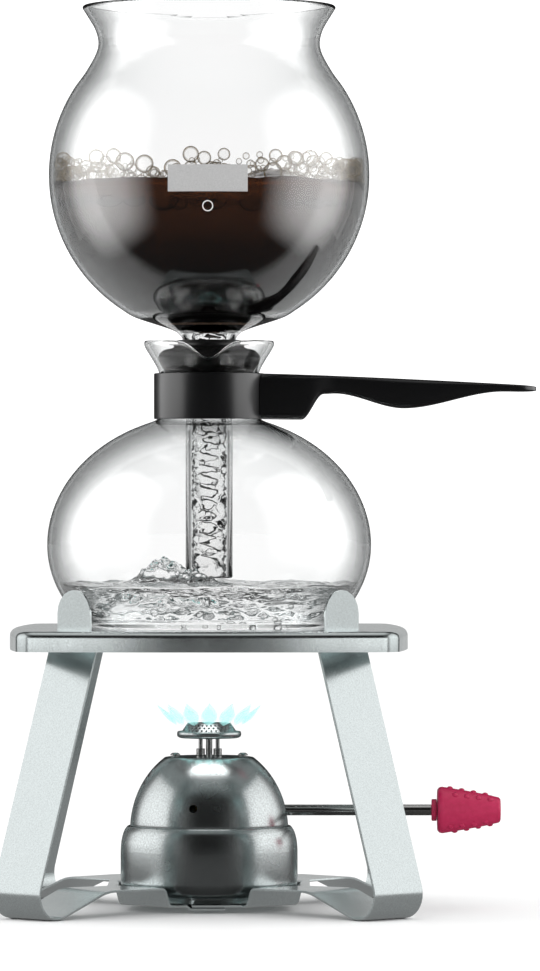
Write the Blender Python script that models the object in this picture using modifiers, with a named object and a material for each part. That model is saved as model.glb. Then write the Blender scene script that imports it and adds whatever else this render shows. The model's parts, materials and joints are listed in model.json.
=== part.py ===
"""Tabletop vacuum coffee brewer: one named object for each sub-part, in metres, +Z up.

The brewer's upright axis stands at x = AXIS_X, so that the origin lies under the middle of the whole object,
handle and valve knob included. Z = 0 is the surface that the four feet rest on. Lengths below are measured from
the brewer's axis and from that surface.
"""

import math

import bmesh
import bpy
from mathutils import Matrix, Vector

GAP = 0.0003  # clearance between pieces that touch
GLASS_SIDES, CAN_SIDES, SMALL_SIDES = 24, 28, 12

# Stand: two stampings, each with two legs, lapped under the burner
SHEET = 0.0012
STRIP_WIDTH = 0.033
FLOOR_Z = 0.0028  # underside of the hub's floor
FLOOR_EDGE_R = 0.0394
WALL_FOOT_R = 0.0434
WALL_TOP_R, WALL_TOP_Z = 0.0464, 0.0114
WALL_ACROSS = 0.0185  # from a strip's middle to the hub wall's corner, on the side of its twin
CREST_Z = 0.0119
ARM_SLOPE = math.radians(21)
FOOT_R, FOOT_BEND = 0.1178, 0.0122
PAD_ANGLE = math.radians(6)  # half the width of the flat under each rolled foot
LEG_TILT = math.radians(18)
LEG_BEND_Z = 0.1315
TAB_WIDTH, TAB_TOP = 0.023, 0.158
FLANGE_X, FLANGE_FILLET = 0.0482, 0.005
LAP = 0.008  # half the width of the lap
RIVET_Y, RIVET_R = 0.025, 0.002

# Trivet plate
PLATE_TOP, PLATE_BOTTOM = 0.1385, 0.1286
PLATE_SHEET = 0.0015
PLATE_HALF, PLATE_CORNER_HALF = 0.098, 0.0915
PLATE_CORNER_R, PLATE_BEND_R = 0.010, 0.0035
PLATE_HOLE_R = 0.0602

# Carafe
CARAFE_R, CARAFE_WIDEST_Z = 0.0798, 0.1791
CARAFE_RISE, CARAFE_DROP = 0.0648, 0.061
CARAFE_FLAT_R, CARAFE_BOTTOM_Z = 0.046, 0.1338
CARAFE_WALL = 0.002
NECK_R, NECK_LOW_Z, NECK_HIGH_Z = 0.0245, 0.2418, 0.2638
MOUTH_R, MOUTH_Z = 0.032, 0.2793
SPOUT_DEPTH, SPOUT_HALF_WIDTH, SPOUT_LIP = 0.0085, 0.0165, 0.003

# Handle and its collar
COLLAR_R, COLLAR_WALL = 0.0272, 0.0024
COLLAR_LOW_Z, COLLAR_HIGH_Z = 0.2411, 0.2637
HANDLE_TIP, TIP_ROUND = 0.1613, 0.0095
TIP_ANGLES = tuple(math.radians(a) for a in (45, 64, 78, 88))  # sections round the handle's end
HANDLE_DROOP = 0.0062  # how far the handle's top edge falls towards its tip
HANDLE_BELOW = (
    (0.0200, 0.2410),
    (0.0455, 0.2408),
    (0.0565, 0.2535),
    (0.0620, 0.2537),
    (0.0960, 0.2464),
    (0.1450, 0.2547),
    (0.1613, 0.2545),
)
HANDLE_HALF_WIDTHS = ((0.0200, 0.0115), (0.0480, 0.0115), (0.0640, 0.0085), (0.1150, 0.0115), (0.1613, 0.0110))
LUG_X, LUG_SLOT = 0.043, 0.0040
LUG_NEAR, LUG_FAR = 0.0015, 0.0037  # the lugs' faces, across the split
CLAMP_X, CLAMP_Z, CLAMP_R = 0.0355, 0.2523, 0.0016
CLAMP_HEAD_R, INSERT_R = 0.0032, 0.0026

# Funnel: bowl and tube in one piece of glass
BOWL_R, BOWL_Z = 0.0802, 0.3613
BOWL_WALL = 0.002
WAIST_R, WAIST_Z = 0.0546, 0.4258
RIM_R, RIM_Z = 0.0622, 0.444
TUBE_R, TUBE_LOW_Z = 0.0116, 0.1628
SEAL_LOW_Z = 0.2397

# Filter
FILTER_R, FILTER_Z, FILTER_THICK, FILTER_BOSS = 0.026, 0.2882, 0.0025, 0.0045
SPRING_COIL_R, SPRING_WIRE_R, SPRING_PITCH = 0.0034, 0.0004, 0.0056
SPRING_LOW_Z, SPRING_TURNS = 0.1723, 12

# Burner
TANK_R, TANK_LIP_R, SEAM_Z = 0.0436, 0.0400, 0.0406
TANK_CORNER_R, TANK_BASE_Z, TANK_FOOT_Z = 0.007, 0.0070, 0.0043
DOME_R, DOME_Z, DOME_RISE, DOME_TOP = 0.039, 0.0385, 0.0435, 0.0751
DOME_FLAT_R = 0.0205
VENT_Z, VENT_PITCH, VENT_TURN = 0.0535, 0.0042, math.radians(14)
CAN_SHEET = 0.001
PILOT_X, PILOT_Z, PILOT_R = -0.0075, 0.0508, 0.0020
VENT_R = 0.0011
STEM_R, STEM_LOW_Z = 0.0016, 0.0673
JET_R, JET_LOW_Z, JET_HIGH_Z = 0.0022, 0.0595, 0.0670
POST_X, POST_R, POST_FOOT_R, POST_FOOT_TALL = 0.0042, 0.0010, 0.0021, 0.0034
SCREW_X, SCREW_R, SCREW_HEAD_R, SCREW_LOW_Z = 0.0167, 0.0011, 0.0024, 0.0700
HEAD_R, HEAD_LOW_Z, HEAD_RIM_Z = 0.0159, 0.0838, 0.0864
CAP_R, CAP_TOP_R, CAP_TOP_Z, CAP_WALL = 0.0138, 0.0106, 0.0915, 0.0007
GAUZE_R, GAUZE_Z, GAUZE_THICK = 0.0100, 0.0881, 0.0005
LID_Z, LID_THICK = 0.0325, 0.0012
NECK_IN_LID_R = 0.0034  # hole in the lid for the valve body's dip tube
VALVE_TOP, VALVE_SHOULDER_Z, VALVE_FLANGE = 0.0592, 0.0555, 0.0022
VALVE_TOP_R, VALVE_BODY_R, VALVE_FLANGE_R = 0.0040, 0.0070, 0.0090
DIP_R, DIP_LOW_Z = 0.0030, 0.0150

# Refill valve, under the tank
REFILL_X = -0.015
REFILL_HOLE_R, SEAT_R, SEAT_BORE_R = 0.0045, 0.0042, 0.0020
SEAT_LOW_Z, SEAT_HIGH_Z, SEAT_ROOF = 0.0085, 0.0235, 0.0015
REFILL_STEM_R, REFILL_LOW_Z, REFILL_HIGH_Z = 0.0016, 0.0080, 0.0145
REFILL_COIL_R, REFILL_WIRE_R, REFILL_TURNS = 0.0013, 0.0002, 4

# Valve spindle and knob, along +X
ROD_Z, ROD_R = 0.0485, 0.0027
ROD_IN, ROD_OUT = 0.0021, 0.1250
KNOB_IN, KNOB_OUT = 0.1124, 0.1437
KNOB_BIG_R, KNOB_SMALL_R = 0.0115, 0.0066

LEG_REACH = (FOOT_R + FOOT_BEND + STRIP_WIDTH / 2) * math.sqrt(0.5)
HANDLE_END = HANDLE_TIP - TIP_ROUND * math.cos(TIP_ANGLES[-1])
AXIS_X = (LEG_REACH - HANDLE_END) / 2

# name: (colour, roughness, metallic, transmission)
FINISHES = {
    "blasted_aluminium": ((0.78, 0.80, 0.80), 0.45, 1.0, 0.0),
    "satin_steel": ((0.62, 0.62, 0.61), 0.32, 1.0, 0.0),
    "bright_steel": ((0.75, 0.75, 0.75), 0.18, 1.0, 0.0),
    "brass": ((0.72, 0.53, 0.25), 0.30, 1.0, 0.0),
    "glass": ((1.0, 1.0, 1.0), 0.0, 0.0, 1.0),
    "black_plastic": ((0.015, 0.015, 0.016), 0.35, 0.0, 0.0),
    "black_rubber": ((0.012, 0.012, 0.012), 0.55, 0.0, 0.0),
    "red_silicone": ((0.55, 0.03, 0.10), 0.45, 0.0, 0.0),
    "filter_nylon": ((0.20, 0.12, 0.08), 0.50, 0.0, 0.0),
}


# ---------------------------------------------------------------- scene helpers


def clear_scene():
    for thing in list(bpy.data.objects):
        bpy.data.objects.remove(thing, do_unlink=True)


def collection(name):
    found = bpy.data.collections.new(name)
    bpy.context.scene.collection.children.link(found)
    return found


def finish(name):
    """The named material, made the first time that it is asked for."""
    if name in bpy.data.materials:
        return bpy.data.materials[name]
    colour, roughness, metallic, transmission = FINISHES[name]
    made = bpy.data.materials.new(name)
    made.use_nodes = True
    shader = made.node_tree.nodes["Principled BSDF"]
    shader.inputs["Base Color"].default_value = (*colour, 1)
    shader.inputs["Roughness"].default_value = roughness
    shader.inputs["Metallic"].default_value = metallic
    shader.inputs["Transmission Weight"].default_value = transmission
    return made


def body(name, x=0.0, z=0.0, turn=(0, 0, 0), parent=None):
    """An empty on a body's joint axis, or on the axis of a fastener that belongs to the parent."""
    empty = bpy.data.objects.new(name, None)
    empty.parent = parent
    empty.location = (x if parent else AXIS_X + x, 0, z)
    empty.rotation_euler = turn
    PARTS.objects.link(empty)
    return empty


def place(name, mesh, look, parent, group=None):
    thing = bpy.data.objects.new(name, mesh)
    thing.parent = parent
    (group or PARTS).objects.link(thing)
    if look:
        mesh.materials.append(finish(look))
    return thing


def from_bmesh(name, shape, look, parent, group=None):
    mesh = bpy.data.meshes.new(name)
    shape.to_mesh(mesh)
    shape.free()
    return place(name, mesh, look, parent, group)


def smooth(thing, degrees=35):
    thing.data.shade_smooth()
    thing.data.set_sharp_from_angle(angle=math.radians(degrees))
    return thing


def turned(name, profile, look, parent, steps=32, closed=True, wall=None, group=None):
    """A turned piece, whose profile of (radius, height) runs down its outer side. A wall makes it a shell."""
    mesh = bpy.data.meshes.new(name)
    last = len(profile) - 1
    edges = [(i, i + 1) for i in range(last)]
    on_axis = profile[0][0] < 1e-6 and profile[last][0] < 1e-6
    if closed and not on_axis:
        edges.append((last, 0))
    mesh.from_pydata([(r, 0, z) for r, z in profile], edges, [])
    thing = place(name, mesh, look, parent, group)
    screw = thing.modifiers.new("turn", "SCREW")
    screw.axis = "Z"
    screw.angle = math.tau
    screw.steps = screw.render_steps = steps
    screw.use_merge_vertices = True
    screw.merge_threshold = 0.00001
    screw.use_smooth_shade = True
    if wall:
        shell = thing.modifiers.new("wall", "SOLIDIFY")
        shell.thickness = wall
        shell.offset = -1
        shell.use_even_offset = True
    return thing


def applied(thing):
    """The object with its modifiers turned into plain mesh."""
    view = bpy.context.evaluated_depsgraph_get()
    mesh = bpy.data.meshes.new_from_object(thing.evaluated_get(view))
    thing.modifiers.clear()
    thing.data = mesh
    return thing


def cutter(name, shape, parent):
    tool = from_bmesh(name, shape, None, parent, TOOLS)
    tool.hide_render = True
    tool.display_type = "WIRE"
    return tool


def box_shape(low, high):
    shape = bmesh.new()
    size = Vector(high) - Vector(low)
    middle = (Vector(high) + Vector(low)) / 2
    bmesh.ops.create_cube(shape, size=1, matrix=Matrix.Translation(middle) @ Matrix.Diagonal((*size, 1)))
    return shape


def rod_shape(start, end, radius, sides=12):
    """A cylinder between two points."""
    run = Vector(end) - Vector(start)
    turn = run.to_track_quat("Z", "Y").to_matrix().to_4x4()
    shape = bmesh.new()
    bmesh.ops.create_cone(
        shape,
        cap_ends=True,
        segments=sides,
        radius1=radius,
        radius2=radius,
        depth=run.length,
        matrix=Matrix.Translation((Vector(start) + Vector(end)) / 2) @ turn,
    )
    return shape


def combine(thing, tool, operation):
    step = thing.modifiers.new(tool.name, "BOOLEAN")
    step.object = tool
    step.operation = operation
    step.solver = "EXACT"


def cut(thing, *tools):
    for tool in tools:
        combine(thing, tool, "DIFFERENCE")


# ---------------------------------------------------------------- outlines


def arc(centre, radius, start, end, steps):
    """Points on an arc, from one angle to another."""
    angles = [start + (end - start) * i / steps for i in range(steps + 1)]
    return [(centre[0] + radius * math.cos(a), centre[1] + radius * math.sin(a)) for a in angles]


def rounded(points, radii, steps=3):
    """A line through the points, with each inner corner rounded to its radius."""
    path = [tuple(points[0])]
    for before, corner, after, radius in zip(points, points[1:], points[2:], radii):
        into = (Vector(corner) - Vector(before)).normalized()
        out = (Vector(after) - Vector(corner)).normalized()
        turn = math.atan2(into.x * out.y - into.y * out.x, into.dot(out))
        start = Vector(corner) - into * radius * math.tan(abs(turn) / 2)
        centre = start + Vector((-into.y, into.x)) * math.copysign(radius, turn)
        for i in range(steps + 1):
            path.append(tuple(centre + Matrix.Rotation(turn * i / steps, 2) @ (start - centre)))
    path.append(tuple(points[-1]))
    return path


def eased(knots, x):
    """The value at x of a curve that passes level through each of the knots."""
    for (x0, y0), (x1, y1) in zip(knots, knots[1:]):
        if x <= x1:
            t = max(0.0, (x - x0) / (x1 - x0))
            return y0 + (y1 - y0) * t * t * (3 - 2 * t)
    return knots[-1][1]


# ---------------------------------------------------------------- stand


def strip_path():
    """The strip's outer face as (distance from the axis, height): floor, wall, arm, rolled foot and leg."""
    foot_z = FOOT_BEND * math.cos(PAD_ANGLE)
    low = -math.pi / 2
    touch = (FOOT_R - FOOT_BEND * math.sin(ARM_SLOPE), foot_z - FOOT_BEND * math.cos(ARM_SLOPE))
    crest = (touch[0] - (CREST_Z - touch[1]) / math.tan(ARM_SLOPE), CREST_Z)
    corners = [(FLOOR_EDGE_R, FLOOR_Z), (WALL_FOOT_R, FLOOR_Z), (WALL_TOP_R, WALL_TOP_Z), crest, touch]
    path = rounded(corners, (0.003, 0.002, 0.025))
    roll = [(FOOT_R, foot_z), FOOT_BEND]
    path += arc(*roll, low - PAD_ANGLE, low + PAD_ANGLE, 1)
    path += arc(*roll, low + PAD_ANGLE, 0, 8)[1:]
    path += arc(*roll, 0, LEG_TILT, 2)[1:-1]
    leg = arc(*roll, LEG_TILT, LEG_TILT, 1)[0]
    bend_r = leg[0] - (LEG_BEND_Z - leg[1]) * math.tan(LEG_TILT)
    shoulder_z = PLATE_TOP - PLATE_SHEET - GAP
    return path + rounded([leg, (bend_r, LEG_BEND_Z), (bend_r, shoulder_z)], (0.010,))


def on_strip(side, end, r, across, z):
    """A point on a diagonal strip. across is positive towards the other strip of the same half."""
    return (side * (r + across) * math.sqrt(0.5), end * (r - across) * math.sqrt(0.5), z)


def stand_half(name, side, lower_lap):
    """One stamping. side is 1 for the half with +X legs. The lower lap's floor steps down under the other."""
    path = strip_path()
    wall_top = 8  # the floor's edge and two bends of four points come first
    r0, z0 = path[wall_top]
    r1, z1 = path[wall_top + 1]
    flange_r = FLANGE_X / math.sqrt(0.5) - STRIP_WIDTH / 2 + FLANGE_FILLET * math.tan(math.pi / 8)
    slope = (z1 - z0) / (r1 - r0)
    path.insert(wall_top + 1, (flange_r, z0 + (flange_r - r0) * slope))
    half = STRIP_WIDTH / 2
    shape = bmesh.new()
    rows = {}
    for end in (-1, 1):
        row = []
        for k, (r, z) in enumerate(path):
            inner = WALL_ACROSS if k <= wall_top else half
            row.append([shape.verts.new(on_strip(side, end, r, a, z)) for a in (-half, inner)])
        for near, far in zip(row, row[1:-1]):
            shape.faces.new((near[0], near[1], far[1], far[0]))
        rows[end] = row
        add_tab(shape, row, side, end, path[-1])
    front, rear = rows[-1], rows[1]

    edge_x = LAP + 0.0028 if lower_lap else -LAP
    edge_y = abs(front[0][0].co.y)
    edge = [shape.verts.new((side * edge_x, y, FLOOR_Z)) for y in (-edge_y, edge_y)]
    floor = shape.faces.new((edge[0], front[0][0], front[0][1], rear[0][1], rear[0][0], edge[1]))
    if lower_lap:
        for x in (LAP + 0.0010, -LAP):
            step = [shape.verts.new((side * x, y, FLOOR_Z - SHEET - GAP)) for y in (-edge_y, edge_y)]
            shape.faces.new((edge[0], edge[1], step[1], step[0]))
            edge = step

    for k in range(wall_top):
        shape.faces.new((front[k][1], front[k + 1][1], rear[k + 1][1], rear[k][1]))
    shape.faces.new(flange_outline(shape, front, rear, wall_top, side, slope))

    bmesh.ops.recalc_face_normals(shape, faces=shape.faces)
    floor.normal_update()
    if floor.normal.z > 0:
        bmesh.ops.reverse_faces(shape, faces=shape.faces)
    thing = from_bmesh(name, shape, "blasted_aluminium", STAND)
    wall = thing.modifiers.new("sheet", "SOLIDIFY")
    wall.thickness = SHEET
    wall.offset = -1
    wall.use_even_offset = True
    for y in (-RIVET_Y, RIVET_Y):
        drill = rod_shape((0, y, -0.002), (0, y, 0.008), RIVET_R + GAP)
        cut(thing, cutter(f"drill_{name}_{y:+.3f}", drill, STAND))
    return smooth(thing, 20)


def add_tab(shape, row, side, end, top):
    """The strip's last stretch: square shoulders, and a narrower tab with a round top."""
    r, z = top
    half = TAB_WIDTH / 2
    outer = row[-1]
    inner = [shape.verts.new(on_strip(side, end, r, a, z)) for a in (-half, half)]
    shape.faces.new((row[-2][0], row[-2][1], outer[1], inner[1], inner[0], outer[0]))
    crown = arc((0, TAB_TOP - half), half, 0, math.pi, 10)
    crown = [shape.verts.new(on_strip(side, end, r, a, height)) for a, height in crown]
    shape.faces.new((inner[0], inner[1], *crown))


def flange_outline(shape, front, rear, wall_top, side, slope):
    """The web between a half's two arms, with a filleted corner at each arm."""
    z0 = front[wall_top][1].co.z
    x0 = abs(front[wall_top][1].co.x)
    corners = []
    for row, end in ((front, -1), (rear, 1)):
        arm = row[wall_top + 1][1].co
        centre_y = abs(arm.y) - FLANGE_FILLET * math.sqrt(0.5)
        centre_x = FLANGE_X + FLANGE_FILLET
        points = arc((centre_x, centre_y), FLANGE_FILLET, math.radians(135), math.pi, 3)[1:]
        height = [z0 + (x - x0) * math.sqrt(2) * slope for x, _ in points]
        corners.append([shape.verts.new((side * x, end * y, z)) for (x, y), z in zip(points, height)])
    low = [front[wall_top][1], front[wall_top + 1][1], *corners[0]]
    return low + corners[1][::-1] + [rear[wall_top + 1][1], rear[wall_top][1]]


def lap_rivet(name, y):
    seat = FLOOR_Z + SHEET + GAP
    low = FLOOR_Z - SHEET
    r, top = 0.0038, seat + 0.0009
    head = ((0, top), (r - 0.0008, top), (r, top - 0.0004), (r, seat), (RIVET_R, seat))
    rivet = turned(name, (*head, (RIVET_R, low), (0, low)), "satin_steel", STAND, steps=SMALL_SIDES)
    rivet.location.y = y


def plate_outline(inset):
    """The bowed square plate's edge, moved in by an inset: four long arcs joined by four corner arcs."""
    chord = PLATE_CORNER_HALF
    sag = PLATE_HALF - PLATE_CORNER_HALF
    bow = (chord**2 + sag**2) / (2 * sag)
    middle = PLATE_HALF - bow
    corner = (middle + math.sqrt(2 * (bow - PLATE_CORNER_R) ** 2 - middle**2)) / 2
    meet = math.atan2(corner, corner - middle)
    side = arc((middle, 0), bow - inset, -meet, meet, 5)
    side += arc((corner, corner), PLATE_CORNER_R - inset, meet, math.pi / 2 - meet, 4)[1:-1]
    turns = [Matrix.Rotation(k * math.pi / 2, 2) for k in range(4)]
    return [turn @ Vector(point) for turn in turns for point in side]


def trivet_plate():
    rings = [[(p.normalized() * PLATE_HOLE_R, PLATE_TOP) for p in plate_outline(0)]]
    for a in (0, 30, 60, 90):
        inset = PLATE_BEND_R * (1 - math.sin(math.radians(a)))
        z = PLATE_TOP - PLATE_BEND_R * (1 - math.cos(math.radians(a)))
        rings.append([(p, z) for p in plate_outline(inset)])
    rings.append([(p, PLATE_BOTTOM) for p in plate_outline(0)])
    shape = bmesh.new()
    rings = [[shape.verts.new((p.x, p.y, z)) for p, z in ring] for ring in rings]
    for inner, outer in zip(rings, rings[1:]):
        for k in range(len(inner)):
            shape.faces.new((inner[k - 1], outer[k - 1], outer[k], inner[k]))
    plate = from_bmesh("trivet_plate", shape, "blasted_aluminium", STAND)
    wall = plate.modifiers.new("sheet", "SOLIDIFY")
    wall.thickness = PLATE_SHEET
    wall.offset = -1
    wall.use_even_offset = True
    tab_r = strip_path()[-1][0] - SHEET / 2
    thick, wide = 0.0012, TAB_WIDTH / 2 + 0.0004
    for k in range(4):
        slot = box_shape((tab_r - thick, -wide, PLATE_BOTTOM), (tab_r + thick, wide, PLATE_TOP + 0.01))
        slot.transform(Matrix.Rotation(math.pi / 4 + k * math.pi / 2, 4, "Z"))
        cut(plate, cutter(f"slot_{k}", slot, STAND))
    smooth(plate, 20)


# ---------------------------------------------------------------- carafe


def carafe_wall(inset):
    """The carafe's side from its flat bottom to its mouth, moved in by an inset."""
    widest = (CARAFE_R - inset, CARAFE_WIDEST_Z)
    low = CARAFE_BOTTOM_Z + inset
    side = [(0, low), (CARAFE_FLAT_R - inset / 2, low)]
    for a in (-38, -22, 0):
        side.append(ellipse(widest, CARAFE_DROP - inset, math.radians(a)))
    for a in (19, 36, 53, 70):
        side.append(ellipse(widest, CARAFE_RISE - inset, math.radians(a)))
    side += [
        (NECK_R - inset + 0.0010, NECK_LOW_Z - 0.0011),
        (NECK_R - inset, NECK_LOW_Z),
        (NECK_R - inset, NECK_HIGH_Z),
        (NECK_R - inset + 0.0022, NECK_HIGH_Z + 0.0046),
        (NECK_R - inset + 0.0058, NECK_HIGH_Z + 0.0105),
        (MOUTH_R - inset, MOUTH_Z - inset / 2),
    ]
    return side


def ellipse(widest, height, angle):
    """A point on the side of a squashed ball, at an angle above its widest place."""
    return (widest[0] * math.cos(angle), widest[1] + height * math.sin(angle))


def carafe_glass():
    inner = carafe_wall(CARAFE_WALL)
    outer = carafe_wall(0)[::-1]
    glass = turned("carafe_glass", inner + outer, "glass", CARAFE, steps=GLASS_SIDES)
    applied(glass)
    for vertex in glass.data.vertices:
        x, y, z = vertex.co
        rise = max(0.0, (z - NECK_HIGH_Z) / (MOUTH_Z - NECK_HIGH_Z))
        if rise > 0 and y < 0:
            pull = math.exp(-((x / (0.55 * SPOUT_HALF_WIDTH)) ** 2)) * rise**1.5
            vertex.co.z -= SPOUT_DEPTH * pull
            vertex.co.y -= SPOUT_LIP * pull
    smooth(glass)


def collar_band():
    low, high, r = COLLAR_LOW_Z, COLLAR_HIGH_Z, COLLAR_R
    inner = r - COLLAR_WALL
    profile = [(inner, high), (r - 0.0006, high), (r, high - 0.0006), (r - 0.0006, low), (inner + 0.0010, low)]
    profile.append((inner, low + 0.0014))
    band = turned("collar_band", profile, "black_plastic", CARAFE, steps=CAN_SIDES)
    for side in (-1, 1):
        near, far = sorted((side * LUG_NEAR, side * LUG_FAR))
        lug = box_shape((inner + 0.0012, near, low + 0.002), (LUG_X, far, high - 0.004))
        combine(band, cutter(f"lug_{side:+d}", lug, CARAFE), "UNION")
    split = box_shape((0.015, -LUG_NEAR, low - 0.01), (LUG_X + 0.01, LUG_NEAR, high + 0.01))
    bolt = rod_shape((CLAMP_X, -0.02, CLAMP_Z), (CLAMP_X, 0.02, CLAMP_Z), CLAMP_R + GAP)
    cut(band, cutter("band_split", split, CARAFE), cutter("lug_hole", bolt, CARAFE))


def handle():
    """A loft of rounded sections from the block at the collar to the flat tip."""
    high = COLLAR_HIGH_Z
    start = HANDLE_BELOW[0][0]
    stations = [start, 0.034, 0.0445, 0.047, 0.0495, 0.052, 0.0545, 0.058, 0.064]
    stations += [0.064 + 0.0093 * i for i in range(1, 10)]
    stations += [HANDLE_TIP - TIP_ROUND * math.cos(a) for a in TIP_ANGLES]
    shape = bmesh.new()
    rings = []
    for x in stations:
        along = (x - start) / (HANDLE_TIP - start)
        above = high - HANDLE_DROOP * along**1.3
        below = eased(HANDLE_BELOW, x)
        wide = eased(HANDLE_HALF_WIDTHS, x)
        end = max(0.0, 1 - (HANDLE_TIP - x) / TIP_ROUND)
        tip = math.sqrt(max(0.0, 1 - end**2))
        wide *= 0.25 + 0.75 * tip
        tall = (above - below) / 2 * (0.55 + 0.45 * tip)
        rings.append(section(shape, x, (above + below) / 2, wide, tall))
    for near, far in zip(rings, rings[1:]):
        for k in range(len(near)):
            shape.faces.new((near[k - 1], near[k], far[k], far[k - 1]))
    shape.faces.new(rings[0][::-1])
    shape.faces.new(rings[-1])
    bmesh.ops.recalc_face_normals(shape, faces=shape.faces)
    grip = from_bmesh("handle", shape, "black_plastic", CARAFE)
    seat = rod_shape((0, 0, 0.22), (0, 0, 0.27), COLLAR_R + GAP, sides=CAN_SIDES)
    slot = box_shape((0.010, -LUG_SLOT, 0.22), (LUG_X + 0.001, LUG_SLOT, high - 0.0035))
    hole = rod_shape((CLAMP_X, 0, CLAMP_Z), (CLAMP_X, 0.02, CLAMP_Z), CLAMP_R + GAP)
    well = rod_shape((CLAMP_X, 0.0085, CLAMP_Z), (CLAMP_X, 0.02, CLAMP_Z), CLAMP_HEAD_R + 0.0004)
    nest = rod_shape((CLAMP_X, 0, CLAMP_Z), (CLAMP_X, -0.0095, CLAMP_Z), INSERT_R + GAP)
    for name, tool in (("seat", seat), ("slot", slot), ("hole", hole), ("well", well), ("nest", nest)):
        cut(grip, cutter(f"handle_{name}", tool, CARAFE))
    smooth(grip, 40)


def section(shape, x, middle, wide, tall):
    """A ring of points round a rectangle with soft corners, square to +X."""
    ring = []
    sides = 14
    for k in range(sides):
        c, s = math.cos(math.tau * k / sides), math.sin(math.tau * k / sides)
        y = wide * math.copysign(abs(c) ** 0.45, c)
        ring.append(shape.verts.new((x, y, middle + tall * math.copysign(abs(s) ** 0.45, s))))
    return ring


def clamp():
    """The screw that pulls the collar's lugs together, from the rear, and the brass insert that it bites in."""
    holder = body("clamp_axis", CLAMP_X, CLAMP_Z, turn=(-math.pi / 2, 0, 0), parent=CARAFE)
    under, top, tip = 0.0088, 0.0108, -0.0080
    head = ((0, top), (CLAMP_HEAD_R - 0.0006, top), (CLAMP_HEAD_R, top - 0.0006), (CLAMP_HEAD_R, under))
    shank = ((CLAMP_R, under), (CLAMP_R, tip), (0, tip))
    turned("clamp_screw", (*head, *shank), "bright_steel", holder, steps=SMALL_SIDES)
    near, far, bore = -0.0043, -0.0092, CLAMP_R + GAP
    turned("clamp_insert", ((bore, near), (INSERT_R, near), (INSERT_R, far), (bore, far)), "brass", holder,
           steps=SMALL_SIDES)


# ---------------------------------------------------------------- funnel


def bowl_side(inset):
    """The bowl's side from its rim to the tube's end, moved in by an inset."""
    side = [
        (RIM_R - inset, RIM_Z - inset / 4),
        (RIM_R - 0.0042 - inset, RIM_Z - 0.0070),
        (WAIST_R + 0.0008 - inset, WAIST_Z + 0.0060),
        (WAIST_R - inset, WAIST_Z),
    ]
    for a in (47, 30, 10, -10, -29, -46, -59, -68):
        side.append(ellipse((BOWL_R - inset, BOWL_Z), BOWL_R - inset, math.radians(a)))
    return side + [
        (0.0180 - inset / 2, BOWL_Z - BOWL_R + 0.0025 + inset * 0.8),
        (0.0138 - inset * 0.8, BOWL_Z - BOWL_R - 0.0004 + inset * 0.3),
        (TUBE_R - inset, BOWL_Z - BOWL_R - 0.0060),
        (TUBE_R - inset, TUBE_LOW_Z),
    ]


def funnel_glass():
    outer = bowl_side(0)
    inner = bowl_side(BOWL_WALL)[::-1]
    turned("funnel_glass", outer + inner, "glass", FUNNEL, steps=GLASS_SIDES)


def seal():
    """The soft bung: a collar above, a bulge in the carafe's mouth and a tapered plug in its neck."""
    bore = TUBE_R + GAP
    outer = [(0.0162, 0.2801), (0.0155, 0.2778), (0.0175, 0.2763), (0.0225, 0.2751), (0.0247, 0.2731)]
    outer += [(0.0250, 0.2713), (0.0240, 0.2685), (0.0221, 0.2653), (0.0220, 0.2628), (0.0208, 0.2483)]
    outer += [(0.0150, 0.2435), (0.0143, SEAL_LOW_Z)]
    inner = [(bore, SEAL_LOW_Z), (bore, 0.2680), (0.0146, 0.2801)]
    turned("seal", outer + inner, "black_rubber", FUNNEL, steps=20)


# ---------------------------------------------------------------- filter


def filter_parts():
    low, high, r = FILTER_Z, FILTER_Z + FILTER_THICK, FILTER_R
    plate = ((0, high), (r - 0.0006, high), (r, high - 0.0006), (r, low + 0.0006), (r - 0.0006, low))
    boss = ((0.0050, low), (0.0045, low - FILTER_BOSS), (0, low - FILTER_BOSS))
    turned("filter_plate", plate + boss, "filter_nylon", FILTER, steps=24)

    base, rise, sheet = high + GAP, 0.0072, 0.0008
    angles = [math.radians(a) for a in (0, 30, 60, 90)]
    dome = [(r * 0.94 * math.sin(a), base + rise * math.cos(a)) for a in angles]
    hollow = [(p * (1 - sheet / r), base + (z - base) * (1 - sheet / rise)) for p, z in dome[::-1]]
    turned("filter_screen", dome + hollow, "bright_steel", FILTER, steps=24)

    top = SPRING_LOW_Z + SPRING_TURNS * SPRING_PITCH
    points = [(0, 0, low - FILTER_BOSS - GAP - SPRING_WIRE_R), (0, 0, top + 0.004)]
    points += coil(SPRING_COIL_R, top, SPRING_LOW_Z, SPRING_TURNS)
    points.append((0.0062, 0, SPRING_LOW_Z - 0.0035))
    points.append((0.0080, 0, TUBE_LOW_Z + 0.0022))
    points.append((0.0070, 0, TUBE_LOW_Z + 0.0008))
    wire("filter_spring", points, SPRING_WIRE_R, FILTER)


def coil(radius, start, end, turns, steps=8):
    """Points along a coil round the Z axis, between two heights."""
    whole = turns * steps
    angles = [math.tau * i / steps for i in range(whole + 1)]
    return [(radius * math.cos(a), radius * math.sin(a), start + (end - start) * i / whole)
            for i, a in enumerate(angles)]


def wire(name, points, radius, parent):
    """A bright steel wire of square section, along the points."""
    path = bpy.data.curves.new(name, "CURVE")
    path.dimensions = "3D"
    path.bevel_depth = radius
    path.bevel_resolution = 0
    path.use_fill_caps = True
    line = path.splines.new("POLY")
    line.points.add(len(points) - 1)
    for slot, point in zip(line.points, points):
        slot.co = (*point, 1)
    path.materials.append(finish("bright_steel"))
    thing = bpy.data.objects.new(name, path)
    thing.parent = parent
    PARTS.objects.link(thing)


# ---------------------------------------------------------------- burner


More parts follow.
